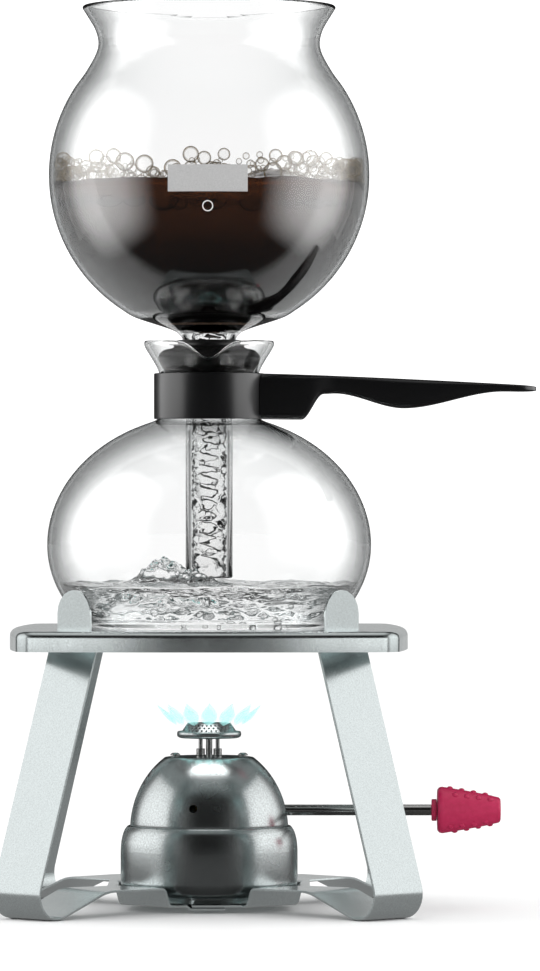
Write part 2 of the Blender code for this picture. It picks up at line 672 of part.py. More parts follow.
def fuel_tank():
    corner_z = TANK_BASE_Z + TANK_CORNER_R
    inner_floor_z = 0.0079
    side = [(TANK_LIP_R, SEAM_Z), (TANK_R - 0.0018, SEAM_Z - 0.0028), (TANK_R - 0.0004, SEAM_Z - 0.0080)]
    side += [(TANK_R, SEAM_Z - 0.0130)]
    side += arc((TANK_R - TANK_CORNER_R, corner_z), TANK_CORNER_R, 0, -math.pi / 2, 3)
    side += [(0.0358, TANK_FOOT_Z), (0.0325, TANK_FOOT_Z), (0.0300, inner_floor_z), (0, inner_floor_z)]
    tank = turned("tank_cup", side, "satin_steel", BURNER, steps=CAN_SIDES, closed=False, wall=CAN_SHEET)
    hole = rod_shape((REFILL_X, 0, 0), (REFILL_X, 0, 0.014), REFILL_HOLE_R)
    cut(tank, cutter("refill_hole", hole, BURNER))

    rim, low, high = TANK_R - CAN_SHEET - 0.0012, LID_Z, LID_Z + LID_THICK
    lid = ((NECK_IN_LID_R, high), (rim, high), (rim, low), (NECK_IN_LID_R, low))
    turned("tank_lid", lid, "satin_steel", BURNER, steps=CAN_SIDES)


def dome_shell():
    low = math.asin((SEAM_Z + 0.0004 - DOME_Z) / DOME_RISE)
    high = math.radians(55)
    angles = [high + (low - high) * i / 6 for i in range(7)]
    side = [(STEM_R + 0.0004, DOME_TOP), (DOME_FLAT_R - 0.0010, DOME_TOP)]
    side.append((DOME_FLAT_R + 0.0010, DOME_TOP - 0.0004))
    side += [ellipse((DOME_R, DOME_Z), DOME_RISE, a) for a in angles]
    dome = turned("dome_shell", side, "satin_steel", BURNER, steps=CAN_SIDES, closed=False, wall=CAN_SHEET)
    dome.rotation_euler.z = math.pi / CAN_SIDES
    pilot = rod_shape((PILOT_X, -0.05, PILOT_Z), (PILOT_X, -0.02, PILOT_Z), PILOT_R)
    rod = rod_shape((0.02, 0, ROD_Z), (0.06, 0, ROD_Z), ROD_R + 0.0006)
    cut(dome, cutter("pilot_hole", pilot, BURNER), cutter("rod_hole", rod, BURNER))
    for end in (-1, 1):
        drill = rod_shape((end * SCREW_X, 0, 0.065), (end * SCREW_X, 0, 0.09), SCREW_R + GAP)
        cut(dome, cutter(f"screw_hole_{end:+d}", drill, BURNER))
        outward = Matrix.Rotation(-end * VENT_TURN, 3, "Z") @ Vector((end, 0, 0.25))
        for row in range(3):
            start = Vector((0, 0, VENT_Z + VENT_PITCH * row)) + outward * (0.0240 - 0.0012 * row)
            vent = rod_shape(start, start + outward * 0.016, VENT_R, sides=8)
            cut(dome, cutter(f"vent_{end:+d}_{row}", vent, BURNER))
    smooth(dome)


def burner_posts():
    """The jet, the stem that carries the gas up, and the two posts that hold the head."""
    tip = ((0, JET_HIGH_Z), (JET_R - 0.0010, JET_HIGH_Z), (JET_R, JET_HIGH_Z - 0.0020))
    turned("jet", (*tip, (JET_R, JET_LOW_Z), (0, JET_LOW_Z)), "brass", BURNER, steps=SMALL_SIDES)
    top, foot = HEAD_LOW_Z - GAP, DOME_TOP + GAP
    step = foot + POST_FOOT_TALL
    stem = ((0, top), (STEM_R, top), (STEM_R, STEM_LOW_Z), (0, STEM_LOW_Z))
    turned("burner_stem", stem, "bright_steel", BURNER, steps=SMALL_SIDES)
    post = ((0, top), (POST_R, top), (POST_R, step), (POST_FOOT_R, step), (POST_FOOT_R, foot), (0, foot))
    for name, end in (("head_post_left", -1), ("head_post_right", 1)):
        turned(name, post, "bright_steel", BURNER, steps=SMALL_SIDES).location.x = end * POST_X


def burner_head():
    low, rim, r = HEAD_LOW_Z, HEAD_RIM_Z, HEAD_R
    floor = low + 0.0014
    cup = ((0, floor), (r - 0.0026, floor), (r - 0.0020, rim), (r - 0.0006, rim), (r, rim - 0.0008))
    cup += ((r - 0.0002, low + 0.0010), (r - 0.0016, low + 0.0002), (0.0070, low), (0, low))
    turned("head_cup", cup, "satin_steel", BURNER, steps=CAN_SIDES)
    base, roof = rim + GAP, CAP_TOP_Z - 0.0011
    cap = [(0, CAP_TOP_Z), (CAP_TOP_R - 0.0008, CAP_TOP_Z), (CAP_TOP_R, CAP_TOP_Z - 0.0005), (CAP_R, base)]
    cap += [(CAP_R - CAP_WALL, base), (CAP_TOP_R - CAP_WALL, roof), (0, roof)]
    turned("head_cap", cap, "satin_steel", BURNER, steps=CAN_SIDES)
    high = GAUZE_Z + GAUZE_THICK
    gauze = ((0, high), (GAUZE_R, high), (GAUZE_R, GAUZE_Z), (0, GAUZE_Z))
    turned("head_gauze", gauze, "bright_steel", BURNER, steps=CAN_SIDES)


def dome_screws():
    seat, r = DOME_TOP + GAP, SCREW_HEAD_R
    head = ((0, seat + 0.0014), (r - 0.0010, seat + 0.0013), (r, seat + 0.0006), (r, seat), (SCREW_R, seat))
    for name, end in (("dome_screw_left", -1), ("dome_screw_right", 1)):
        shank = ((SCREW_R, SCREW_LOW_Z), (0, SCREW_LOW_Z))
        screw = turned(name, (*head, *shank), "bright_steel", BURNER, steps=SMALL_SIDES)
        screw.location.x = end * SCREW_X


def valve_body():
    base = LID_Z + LID_THICK + GAP
    flange = base + VALVE_FLANGE
    side = ((0, VALVE_TOP), (VALVE_TOP_R, VALVE_TOP), (VALVE_TOP_R, VALVE_SHOULDER_Z))
    side += ((VALVE_BODY_R, VALVE_SHOULDER_Z), (VALVE_BODY_R, flange), (VALVE_FLANGE_R, flange))
    side += ((VALVE_FLANGE_R, base), (DIP_R, base), (DIP_R, DIP_LOW_Z), (0, DIP_LOW_Z))
    block = turned("valve_body", side, "brass", BURNER, steps=20)
    bore = rod_shape((ROD_IN - 0.0006, 0, ROD_Z), (0.02, 0, ROD_Z), ROD_R + GAP, sides=16)
    cut(block, cutter("rod_bore", bore, BURNER))


def refill_valve():
    top, low, roof = SEAT_HIGH_Z, SEAT_LOW_Z, SEAT_HIGH_Z - SEAT_ROOF
    seat = ((0, top), (SEAT_R, top), (SEAT_R, low), (SEAT_BORE_R, low), (SEAT_BORE_R, roof), (0, roof))
    turned("refill_seat", seat, "brass", BURNER, steps=16).location.x = REFILL_X
    r, high, end = REFILL_STEM_R, REFILL_HIGH_Z, REFILL_LOW_Z
    stem = ((0, high), (r, high), (r, end + 0.0004), (r - 0.0004, end), (0, end))
    turned("refill_stem", stem, "brass", REFILL, steps=SMALL_SIDES)
    spring = coil(REFILL_COIL_R, high + GAP * 2, roof - GAP * 2, REFILL_TURNS)
    wire("refill_spring", spring, REFILL_WIRE_R, REFILL)


# ---------------------------------------------------------------- valve spindle


def valve_spindle():
    rod = ((0, ROD_OUT), (ROD_R, ROD_OUT), (ROD_R, ROD_IN + 0.0006), (ROD_R - 0.0006, ROD_IN), (0, ROD_IN))
    turned("valve_rod", rod, "bright_steel", VALVE, steps=16)
    bore = ROD_R + GAP
    ring = ((bore, 0.1121), (0.0054, 0.1121), (0.0054, 0.1100), (0.0050, 0.1096), (bore, 0.1096))
    turned("knob_collar", ring, "red_silicone", VALVE, steps=20)
    low, high = KNOB_IN, KNOB_OUT - 0.0030
    core = ((0, high), (0.0044, high), (0.0044, low), (bore, low), (bore, ROD_OUT + GAP), (0, ROD_OUT + GAP))
    turned("knob_core", core, "black_plastic", VALVE, steps=16)
    out, big, small = KNOB_OUT, KNOB_BIG_R, KNOB_SMALL_R
    sleeve = [(0, out), (small - 0.0012, out - 0.0002), (small - 0.0002, out - 0.0012)]
    flank = (0, 0.2, 0.45, 0.7, 1)
    sleeve += [(small + (big - small) * t**0.85, out - 0.0026 - (out - low - 0.0050) * t) for t in flank]
    sleeve += [(big - 0.0004, low + 0.0008), (big - 0.0014, low), (0.0044 + GAP, low)]
    sleeve += [(0.0044 + GAP, high + GAP), (0, high + GAP)]
    turned("knob_sleeve", sleeve, "red_silicone", VALVE, steps=20)


clear_scene()
PARTS = collection("vacuum_coffee_brewer")
TOOLS = collection("cutters")
STAND = body("stand_axis")
CARAFE = body("carafe_axis")
FUNNEL = body("funnel_axis")
FILTER = body("filter_axis")
BURNER = body("burner_axis")
REFILL = body("refill_axis", x=REFILL_X)
VALVE = body("valve_axis", z=ROD_Z, turn=(0, math.pi / 2, 0))

stand_half("stand_half_left", -1, lower_lap=True)
stand_half("stand_half_right", 1, lower_lap=False)
lap_rivet("lap_rivet_front", -RIVET_Y)
lap_rivet("lap_rivet_rear", RIVET_Y)
trivet_plate()
carafe_glass()
collar_band()
handle()
clamp()
funnel_glass()
seal()
filter_parts()
fuel_tank()
dome_shell()
dome_screws()
valve_body()
burner_posts()
burner_head()
refill_valve()
valve_spindle()
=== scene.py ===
"""Looks of a tabletop vacuum coffee brewer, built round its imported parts: metres, +Z up, in the parts' own frame."""

import json
import math
import random

import bmesh
import bpy
from mathutils import Matrix, Vector, noise

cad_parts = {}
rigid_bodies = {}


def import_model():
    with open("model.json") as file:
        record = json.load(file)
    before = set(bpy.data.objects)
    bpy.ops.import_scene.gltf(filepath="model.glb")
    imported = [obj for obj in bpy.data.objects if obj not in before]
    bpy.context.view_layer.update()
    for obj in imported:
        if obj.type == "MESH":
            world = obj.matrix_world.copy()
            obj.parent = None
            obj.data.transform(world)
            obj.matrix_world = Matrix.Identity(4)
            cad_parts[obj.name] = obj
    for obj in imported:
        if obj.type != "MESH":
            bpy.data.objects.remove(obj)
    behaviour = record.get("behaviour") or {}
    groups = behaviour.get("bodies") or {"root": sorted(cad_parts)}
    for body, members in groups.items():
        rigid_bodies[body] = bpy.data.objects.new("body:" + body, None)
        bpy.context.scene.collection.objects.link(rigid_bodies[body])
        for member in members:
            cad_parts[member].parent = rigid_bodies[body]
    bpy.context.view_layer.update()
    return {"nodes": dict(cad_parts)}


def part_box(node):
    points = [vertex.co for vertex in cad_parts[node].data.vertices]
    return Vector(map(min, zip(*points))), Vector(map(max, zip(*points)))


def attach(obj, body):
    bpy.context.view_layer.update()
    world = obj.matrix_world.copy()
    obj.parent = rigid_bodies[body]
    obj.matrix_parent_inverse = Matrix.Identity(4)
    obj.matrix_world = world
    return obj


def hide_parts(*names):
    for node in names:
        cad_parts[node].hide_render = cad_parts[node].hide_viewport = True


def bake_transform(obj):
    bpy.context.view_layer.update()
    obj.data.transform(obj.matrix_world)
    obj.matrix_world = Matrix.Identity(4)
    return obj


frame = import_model()
NODES = frame["nodes"]


def span(node, axis):
    """The node's lowest and highest place along one axis."""
    low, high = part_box(node)
    return low["xyz".index(axis)], high["xyz".index(axis)]


def half_width(node, axis="x"):
    low, high = span(node, axis)
    return (high - low) / 2


def middle_of(node):
    """The middle of the node's box."""
    low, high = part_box(node)
    return (low + high) / 2


# -------- sizes: boxes from the frame, and the parts' own radii

AXIS_X = middle_of("funnel_glass").x
AXIS = Vector((AXIS_X, 0, 0))

TUBE_LOW_Z, RIM_Z = span("funnel_glass", "z")
BOWL_R = half_width("funnel_glass")
BOWL_Z = RIM_Z - 0.0827
RIM_R, WAIST_R, TUBE_R = 0.0622, 0.0546, 0.0116
GLASS_WALL, FILM = 0.002, 0.00012
COFFEE_Z = BOWL_Z - 0.0040

CARAFE_BOTTOM_Z, MOUTH_Z = span("carafe_glass", "z")
CARAFE_R = half_width("carafe_glass")
CARAFE_WIDEST_Z = CARAFE_BOTTOM_Z + 0.0453
CARAFE_RISE, CARAFE_DROP = 0.0648, 0.061
NECK_R, NECK_LOW_Z, NECK_HIGH_Z = 0.0245, 0.2418, 0.2638
MOUTH_R = 0.032
SPOUT_DEPTH, SPOUT_HALF_WIDTH, SPOUT_LIP = 0.0085, 0.0165, 0.003
WATER_Z = 0.1600

COLLAR_LOW_Z, COLLAR_HIGH_Z = span("collar_band", "z")
COLLAR_R = AXIS_X - span("collar_band", "x")[0]
SEAL_LOW_Z, SEAL_HIGH_Z = span("seal", "z")
CLAMP_HOLE_R = 0.0019

TANK_R = half_width("tank_cup")
TANK_FOOT_Z, SEAM_Z = span("tank_cup", "z")
DOME_TOP = span("dome_shell", "z")[1]
DOME_R, DOME_Z, DOME_RISE, DOME_FLAT_R = 0.039, DOME_TOP - 0.0366, 0.0435, 0.0205
CAN_SHEET = 0.001
SCREW_X = 0.0167
HEAD_R = half_width("head_cup")
HEAD_LOW_Z, HEAD_RIM_Z = span("head_cup", "z")
CAP_R = half_width("head_cap")
CAP_LOW_Z, CAP_TOP_Z = span("head_cap", "z")
CAP_TOP_R = 0.0106

ROD_Z = middle_of("valve_rod").z
ROD_R = half_width("valve_rod", "z")
KNOB_IN, KNOB_OUT = (x - AXIS_X for x in span("knob_sleeve", "x"))
KNOB_BIG_R, KNOB_SMALL_R = 0.0115, 0.0066

PLATE_BOTTOM, PLATE_TOP = span("trivet_plate", "z")
PLATE_HALF = half_width("trivet_plate", "y")
PLATE_CORNER_HALF, PLATE_CORNER_R, PLATE_BEND_R = PLATE_HALF - 0.0065, 0.010, 0.0035
PLATE_HOLE_R, PLATE_SHEET = 0.0602, 0.0015

SIDES = 96


# -------- materials


def material(name, **values):
    """A Principled material. Each value goes to the socket of that name, with spaces for underscores."""
    made = bpy.data.materials.new(name)
    made.use_nodes = True
    shader = made.node_tree.nodes["Principled BSDF"]
    for socket, value in values.items():
        if isinstance(value, tuple):
            value = (*value, 1)
        shader.inputs[socket.replace("_", " ")].default_value = value
    return made


def link(made, source, target):
    made.node_tree.links.new(source, target)


def node(made, kind, **values):
    found = made.node_tree.nodes.new("ShaderNode" + kind)
    for socket, value in values.items():
        found.inputs[socket.replace("_", " ")].default_value = value
    return found


def noise_field(made, scale, detail=2.0):
    """Noise in the object's own coordinates, as a node's output."""
    field = node(made, "TexNoise", Scale=scale, Detail=detail)
    link(made, node(made, "TexCoord").outputs["Object"], field.inputs["Vector"])
    return field.outputs["Fac"]


def bump(made, height, depth):
    """Gives the surface a relief of that depth in metres."""
    relief = node(made, "Bump", Strength=1.0, Distance=depth)
    link(made, height, relief.inputs["Height"])
    link(made, relief.outputs["Normal"], made.node_tree.nodes["Principled BSDF"].inputs["Normal"])


def ramp(made, fac, *stops):
    """The output of a colour ramp with (place, colour) stops."""
    colours = node(made, "ValToRGB")
    elements = colours.color_ramp.elements
    while len(elements) < len(stops):
        elements.new(0.5)
    for element, (place, colour) in zip(elements, stops):
        element.position = place
        element.color = (*colour, 1)
    link(made, fac, colours.inputs["Fac"])
    return colours.outputs["Color"]


def paint(made, fac, *stops, socket="Base Color"):
    shader = made.node_tree.nodes["Principled BSDF"]
    link(made, ramp(made, fac, *stops), shader.inputs[socket])


def grey(value):
    return (value, value, value)


def turned_away(made):
    """How far the surface turns away from the eye, as a node's output."""
    return node(made, "LayerWeight", Blend=0.5).outputs["Facing"]


def speckled(name, scale, dark, light, places=(0.3, 0.7), **values):
    """A material whose colour varies between two, and the noise that it varies by."""
    made = material(name, **values)
    field = noise_field(made, scale)
    paint(made, field, (places[0], dark), (places[1], light))
    return made, field


def metal(name, colour, roughness, grain, depth, spread):
    """A metal with a grain: its colour and its roughness vary a little from grain to grain."""
    made = material(name, Metallic=1.0, Roughness=roughness)
    field = noise_field(made, grain, 3.0)
    dark = tuple(c * (1 - spread) for c in colour)
    light = tuple(min(1.0, c * (1 + spread)) for c in colour)
    paint(made, field, (0.30, dark), (0.70, light))
    patches = noise_field(made, 60.0)
    paint(made, patches, (0.3, grey(roughness * 0.9)), (0.7, grey(roughness * 1.12)), socket="Roughness")
    bump(made, field, depth)
    return made


def clear(name, ior, edge, edge_place):
    """A clear material whose tint deepens where the surface turns away: partly the glass's own tint through its longer
    path, partly painted shade for the dark surroundings bent into its edges.
    """
    made = material(name, IOR=ior, Roughness=0.0, Transmission_Weight=1.0)
    mid = tuple(0.34 + 0.66 * c for c in edge)
    stops = ((0.0, grey(1.0)), (edge_place, (0.975, 0.985, 0.985)), ((edge_place + 1) / 2, mid), (1.0, edge))
    paint(made, turned_away(made), *stops)
    return made


def make_materials():
    looks = {
        "silver": metal("blasted_silver", (0.75, 0.81, 0.81), 0.20, 1500, 0.000002, 0.10),
        "satin": metal("satin_steel", (0.80, 0.85, 0.85), 0.25, 1300, 0.000002, 0.16),
        "bright": metal("bright_steel", (0.70, 0.70, 0.69), 0.14, 900, 0.000004, 0.03),
        "brass": metal("turned_brass", (0.72, 0.53, 0.25), 0.28, 700, 0.000010, 0.06),
    }
    plastic = material("black_plastic", Base_Color=(0.003, 0.003, 0.0035), Roughness=0.28)
    bump(plastic, noise_field(plastic, 2600), 0.000012)
    rubber, grain = speckled("black_rubber", 500, grey(0.002), grey(0.005), Roughness=0.42)
    bump(rubber, grain, 0.00003)
    red, deep_red = (0.47, 0.014, 0.080), (0.40, 0.008, 0.060)
    silicone, _ = speckled("red_silicone", 420, deep_red, red, (0.25, 0.75), Roughness=0.34)
    bump(silicone, noise_field(silicone, 2200), 0.000015)
    looks |= {"plastic": plastic, "rubber": rubber, "silicone": silicone}
    looks["nylon"], _ = speckled("filter_nylon", 900, (0.16, 0.10, 0.07), (0.24, 0.15, 0.10), Roughness=0.55)

    # The darker edge tints of glass and water are partly their own tint and partly painted shade for the dark
    # surroundings seen in their edges.
    looks["glass"] = clear("clear_glass", 1.45, (0.02, 0.032, 0.032), 0.44)
    looks["water"] = clear("water", 1.33, (0.12, 0.15, 0.15), 0.60)
    bubble = material("bubble_film", Roughness=0.02, IOR=1.20)
    facing = turned_away(bubble)
    paint(bubble, facing, (0.0, (0.80, 0.76, 0.66)), (0.50, (0.42, 0.30, 0.14)), (1.0, (0.03, 0.02, 0.01)))
    paint(bubble, facing, (0.25, grey(0.06)), (0.80, grey(0.95)), socket="Alpha")
    looks["bubble"] = bubble

    coffee = material("coffee", IOR=1.33, Roughness=0.0, Transmission_Weight=0.85)
    height = node(coffee, "SeparateXYZ")
    link(coffee, node(coffee, "TexCoord").outputs["Object"], height.inputs["Vector"])
    rise = node(coffee, "MapRange", From_Min=COFFEE_Z - 0.045, From_Max=COFFEE_Z + 0.004)
    link(coffee, height.outputs["Z"], rise.inputs["Value"])
    deep, brown, thin = (0.0006, 0.0004, 0.0005), (0.010, 0.003, 0.001), (0.16, 0.050, 0.016)
    paint(coffee, rise.outputs["Result"], (0.0, deep), (0.70, brown), (1.0, thin))
    looks["coffee"] = coffee

    looks["label"], _ = speckled("label_print", 1800, grey(0.42), grey(0.50), Metallic=0.15, Roughness=0.38)
    looks["print"] = material("white_print", Base_Color=grey(0.75), Roughness=0.5)

    glow = {"Emission_Color": (0.48, 0.90, 0.86), "Emission_Strength": 0.60}
    flame = material("flame", Base_Color=(0.40, 0.86, 0.86), Roughness=1.0, **glow)
    paint(flame, turned_away(flame), (0.0, grey(0.40)), (0.9, grey(0.06)), socket="Alpha")
    looks["flame"] = flame
    return looks


# -------- outlines


def arc(centre, radius, start, end, steps):
    """Points on an arc, from one angle to another."""
    angles = [start + (end - start) * i / steps for i in range(steps + 1)]
    return [(centre[0] + radius * math.cos(a), centre[1] + radius * math.sin(a)) for a in angles]


def all_round(count):
    """The angles of evenly spaced places round a circle."""
    return [math.tau * k / count for k in range(count)]


def ellipse(widest, height, angle):
    """A point on the outline of a ball that is as wide as its (radius, height) place says."""
    return (widest[0] * math.cos(angle), widest[1] + height * math.sin(angle))


def through(points, per=6):
    """A smooth line through the points."""
    ends = [points[0], *points, points[-1]]
    line = []
    for a, b, c, d in zip(ends, ends[1:], ends[2:], ends[3:]):
        for i in range(per):
            t = i / per
            weights = (-t + 2 * t**2 - t**3, 2 - 5 * t**2 + 3 * t**3, t + 4 * t**2 - 3 * t**3, t**3 - t**2)
            line.append(tuple(sum(w * p[k] for w, p in zip(weights, (a, b, c, d))) / 2 for k in (0, 1)))
    return line + [tuple(points[-1])]


def softened(points, radius, steps=3, closed=True):
    """The outline with its corners rounded, where there is room for the radius."""
    line = []
    whole = len(points)
    for i, corner in enumerate(points):
        if not closed and i in (0, whole - 1):
            line.append(corner)
            continue
        here = Vector(corner)
        back, on = Vector(points[i - 1]) - here, Vector(points[(i + 1) % whole]) - here
        if corner[0] < 1e-6 or back.length < 1e-9 or on.length < 1e-9:
            line.append(corner)
            continue
        reach = min(radius, back.length * 0.45, on.length * 0.45)
        start, end = here + back.normalized() * reach, here + on.normalized() * reach
        for k in range(steps + 1):
            t = k / steps
            line.append(tuple(start * (1 - t) ** 2 + here * 2 * t * (1 - t) + end * t**2))
    return line


def walled(line, wall, round_ends=(True, True)):
    """A closed outline: the line as the outer side, running down, and the same line moved in by the wall."""
    inner = []
    tangents = []
    for i in range(len(line)):
        before, after = Vector(line[max(0, i - 1)]), Vector(line[min(len(line) - 1, i + 1)])
        t = (after - before).normalized()
        tangents.append(t)
        inner.append((max(0.0, line[i][0] + t.y * wall), line[i][1] - t.x * wall))
    outline = list(line)
    if round_ends[1]:
        outline += end_cap(line[-1], inner[-1], tangents[-1])
    outline += inner[::-1]
    if round_ends[0]:
        outline += end_cap(inner[0], line[0], -tangents[0])
    return outline


def end_cap(start, end, way, steps=5):
    """The points of a half circle between two points, bulging the given way."""
    middle = (Vector(start) + Vector(end)) / 2
    spoke = Vector(start) - middle
    points = []
    for k in range(1, steps):
        a = math.pi * k / steps
        points.append(tuple(middle + spoke * math.cos(a) + way * spoke.length * math.sin(a)))
    return points


# -------- meshes


def skinned(shape, rings, capped=False):
    """Faces between each ring of vertices and the next, and over both ends. A ring may be one point."""
    if capped:
        shape.faces.new(rings[0])
        shape.faces.new(rings[-1])
    for near, far in zip(rings, rings[1:]):
        sides = max(len(near), len(far))
        for k in range(sides if sides > 1 else 0):
            ring = [near[k % len(near)], far[k % len(far)], far[(k + 1) % len(far)], near[(k + 1) % len(near)]]
            shape.faces.new(list(dict.fromkeys(ring)))
    bmesh.ops.recalc_face_normals(shape, faces=shape.faces)
    return shape


def turned(outline, sides=SIDES, closed=True):
    """A shape turned round the brewer's axis: its outline is made of (radius, height) points."""
    shape = bmesh.new()
    rings = []
    for r, z in outline:
        angles = all_round(sides if r > 1e-6 else 1)
        rings.append([shape.verts.new((AXIS_X + r * math.cos(a), r * math.sin(a), z)) for a in angles])
    if closed and len(rings[0]) > 1 and len(rings[-1]) > 1:
        rings.append(rings[0])
    return skinned(shape, rings)


def aimed_along_x(shape, z):
    """Turns an upright shape made at AXIS_X so that it lies along +X at that height."""
    turn = Matrix.Rotation(math.pi / 2, 4, "Y")
    shape.transform(Matrix.Translation((AXIS_X, 0, z)) @ turn @ Matrix.Translation((-AXIS_X, 0, 0)))
    return shape


def rod_shape(start, end, radius, sides=24):
    run = Vector(end) - Vector(start)
    turn = run.to_track_quat("Z", "Y").to_matrix().to_4x4()
    ends = {"segments": sides, "radius1": radius, "radius2": radius, "cap_ends": True}
    shape = bmesh.new()
    at = Matrix.Translation((Vector(start) + Vector(end)) / 2) @ turn
    bmesh.ops.create_cone(shape, depth=run.length, matrix=at, **ends)
    return shape


def box_shape(low, high):
    shape = bmesh.new()
    size, middle = Vector(high) - Vector(low), (Vector(high) + Vector(low)) / 2
    bmesh.ops.create_cube(shape, size=1, matrix=Matrix.Translation(middle) @ Matrix.Diagonal((*size, 1)))
    return shape


def ball_shape(centre, radius, subdivisions):
    shape = bmesh.new()
    at = Matrix.Translation(Vector(centre) + AXIS)
    bmesh.ops.create_icosphere(shape, subdivisions=subdivisions, radius=radius, matrix=at)
    return shape


def mesh_of(name, shape):
    """A mesh made from a bmesh, which is used up."""
    mesh = bpy.data.meshes.new(name)
    shape.to_mesh(mesh)
    shape.free()
    return mesh


def joined(shapes):
    """One bmesh of several, which are used up."""
    whole = bmesh.new()
    for shape in shapes:
        mesh = mesh_of("part", shape)
        whole.from_mesh(mesh)
        bpy.data.meshes.remove(mesh)
    return whole


def in_scene(name, data):
    """A new object with that data, in the scene."""
    thing = bpy.data.objects.new(name, data)
    bpy.context.scene.collection.objects.link(thing)
    return thing


def shaded(thing, angle):
    """Smooth shading, but for edges sharper than an angle in degrees."""
    thing.data.shade_smooth()
    thing.data.set_sharp_from_angle(angle=math.radians(angle))


def piece(name, shape, body, look, stands_for=(), sharp=35):
    """A finished piece that rides on a body. It may stand for CAD nodes."""
    thing = in_scene(name, mesh_of(name, shape))
    thing.data.materials.append(look)
    if sharp:
        shaded(thing, sharp)
    else:
        thing.data.shade_smooth()
    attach(thing, body)
    if stands_for:
        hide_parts(*stands_for)
    return thing


def evaluated(thing):
    """Turns the piece's modifiers into plain mesh."""
    view = bpy.context.evaluated_depsgraph_get()
    mesh = bpy.data.meshes.new_from_object(thing.evaluated_get(view))
    thing.modifiers.clear()
    thing.data = mesh


def carve(thing, shape, operation="DIFFERENCE"):
    """Cuts a shape out of the piece, or joins it on."""
    mesh = mesh_of("tool", shape)
    tool = in_scene("tool", mesh)
    step = thing.modifiers.new("carve", "BOOLEAN")
    step.object = tool
    step.operation = operation
    step.solver = "EXACT"
    evaluated(thing)
    bpy.data.objects.remove(tool)
    bpy.data.meshes.remove(mesh)


def finer(cad_node, body, look, width):
    """A copy of a CAD node with its hard edges rounded to a width, which stands for it."""
    shape = bmesh.new()
    shape.from_mesh(NODES[cad_node].data)
    same_place, same_plane = 0.000004, 0.001
    bmesh.ops.remove_doubles(shape, verts=shape.verts, dist=same_place)
    flat = [e for e in shape.edges if len(e.link_faces) == 2 and e.calc_face_angle(1.0) < same_plane]
    bmesh.ops.dissolve_edges(shape, edges=flat, use_verts=True)
    copy = piece(f"{cad_node}_shape", shape, body, look, (cad_node,))
    step = copy.modifiers.new("edges", "BEVEL")
    step.width = width
    step.segments = 2
    step.limit_method = "ANGLE"
    step.angle_limit = math.radians(35)
    step.harden_normals = True
    evaluated(copy)


# -------- funnel


def bowl_line():
    """The funnel's outer side, from its lip down to the tube's end."""
    lip = [(RIM_R, RIM_Z - 0.0008), (0.0588, RIM_Z - 0.0062), (0.0560, RIM_Z - 0.0112), (WAIST_R, RIM_Z - 0.0166)]
    lip += [(0.0551, RIM_Z - 0.0212), (0.0573, RIM_Z - 0.0262)]
    ball = [ellipse((BOWL_R, BOWL_Z), BOWL_R, math.radians(a)) for a in range(39, -69, -6)]
    low = BOWL_Z - BOWL_R
    tail = [(0.0185, low + 0.0028), (0.0142, low - 0.0003), (0.0122, low - 0.0040), (TUBE_R, low - 0.0090)]
    tube = [(TUBE_R, low - 0.030), (TUBE_R, TUBE_LOW_Z + 0.0008)]
    return through(lip + ball + tail) + tube


def bowl_inside(z):
    """The radius of the bowl's inner side at a height, where it is a ball."""
    return math.sqrt(max(0.0, (BOWL_R - GLASS_WALL) ** 2 - (z - BOWL_Z) ** 2))


def funnel(looks):
    shape = turned(walled(bowl_line(), GLASS_WALL))
    piece("funnel_bowl", shape, "funnel", looks["glass"], ("funnel_glass",), sharp=None)
    bore = TUBE_R + 0.0003
    top = SEAL_HIGH_Z
    bulge = [(0.0158, top), (0.0155, top - 0.0022), (0.0172, top - 0.0037), (0.0222, top - 0.0048)]
    bulge += [(0.0246, top - 0.0070), (0.0250, top - 0.0090), (0.0240, top - 0.0118), (0.0221, top - 0.0148)]
    plug = [(0.0219, top - 0.0175), (0.0208, SEAL_LOW_Z + 0.0088), (0.0152, SEAL_LOW_Z + 0.0040)]
    plug += [(0.0143, SEAL_LOW_Z + 0.0024), (0.0143, SEAL_LOW_Z)]
    inner = [(bore, SEAL_LOW_Z), (bore, top - 0.0130), (0.0146, top)]
    outline = softened(through(bulge + plug[:1], 4) + plug[1:] + inner, 0.0005)
    piece("seal_bung", turned(outline), "funnel", looks["rubber"], ("seal",))


def label(looks):
    """A blank plate printed on the bowl, and a small ring below it."""
    width, high, low, gap, skin = 0.0385, 0.3632, 0.3502, 0.00003, 0.00012
    shape = bmesh.new()
    across, up = 40, 8
    edges = []
    for lift in (0.0, skin):
        r = BOWL_R + gap + lift
        rows = []
        for j in range(up + 1):
            z = low + (high - low) * j / up
            ring = math.sqrt(r * r - (z - BOWL_Z) ** 2)
            row = []
            for i in range(across + 1):
                x = width * (i / across - 0.5)
                row.append(shape.verts.new((AXIS_X + x, -math.sqrt(ring * ring - x * x), z)))
            rows.append(row)
        for below, above in zip(rows, rows[1:]):
            for i in range(across):
                shape.faces.new((below[i], below[i + 1], above[i + 1], above[i]))
        right, left = [row[-1] for row in rows[1:]], [row[0] for row in rows[-2:0:-1]]
        edges.append(rows[0] + right + rows[-1][-2::-1] + left)
    piece("label_plate", skinned(shape, edges), "funnel", looks["label"], sharp=30)

    ring = bmesh.new()
    middle, inner, outer, sides = 0.3433, 0.00218, 0.00262, 48
    loops = []
    for lift, r in ((0.0, inner), (skin, inner), (skin, outer), (0.0, outer)):
        loop = []
        for a in all_round(sides):
            x, z = r * math.cos(a), middle + r * math.sin(a)
            y = -math.sqrt((BOWL_R + gap + lift) ** 2 - (z - BOWL_Z) ** 2 - x * x)
            loop.append(ring.verts.new((AXIS_X + x, y, z)))
        loops.append(loop)
    piece("label_ring", skinned(ring, loops + loops[:1]), "funnel", looks["print"])


# -------- what the glass holds


def waves(x, y, size, seed):
    """A height between about -1 and 1, that varies over the given length."""
    return noise.fractal(Vector((x / size, y / size, seed)), 0.9, 2.1, 4)


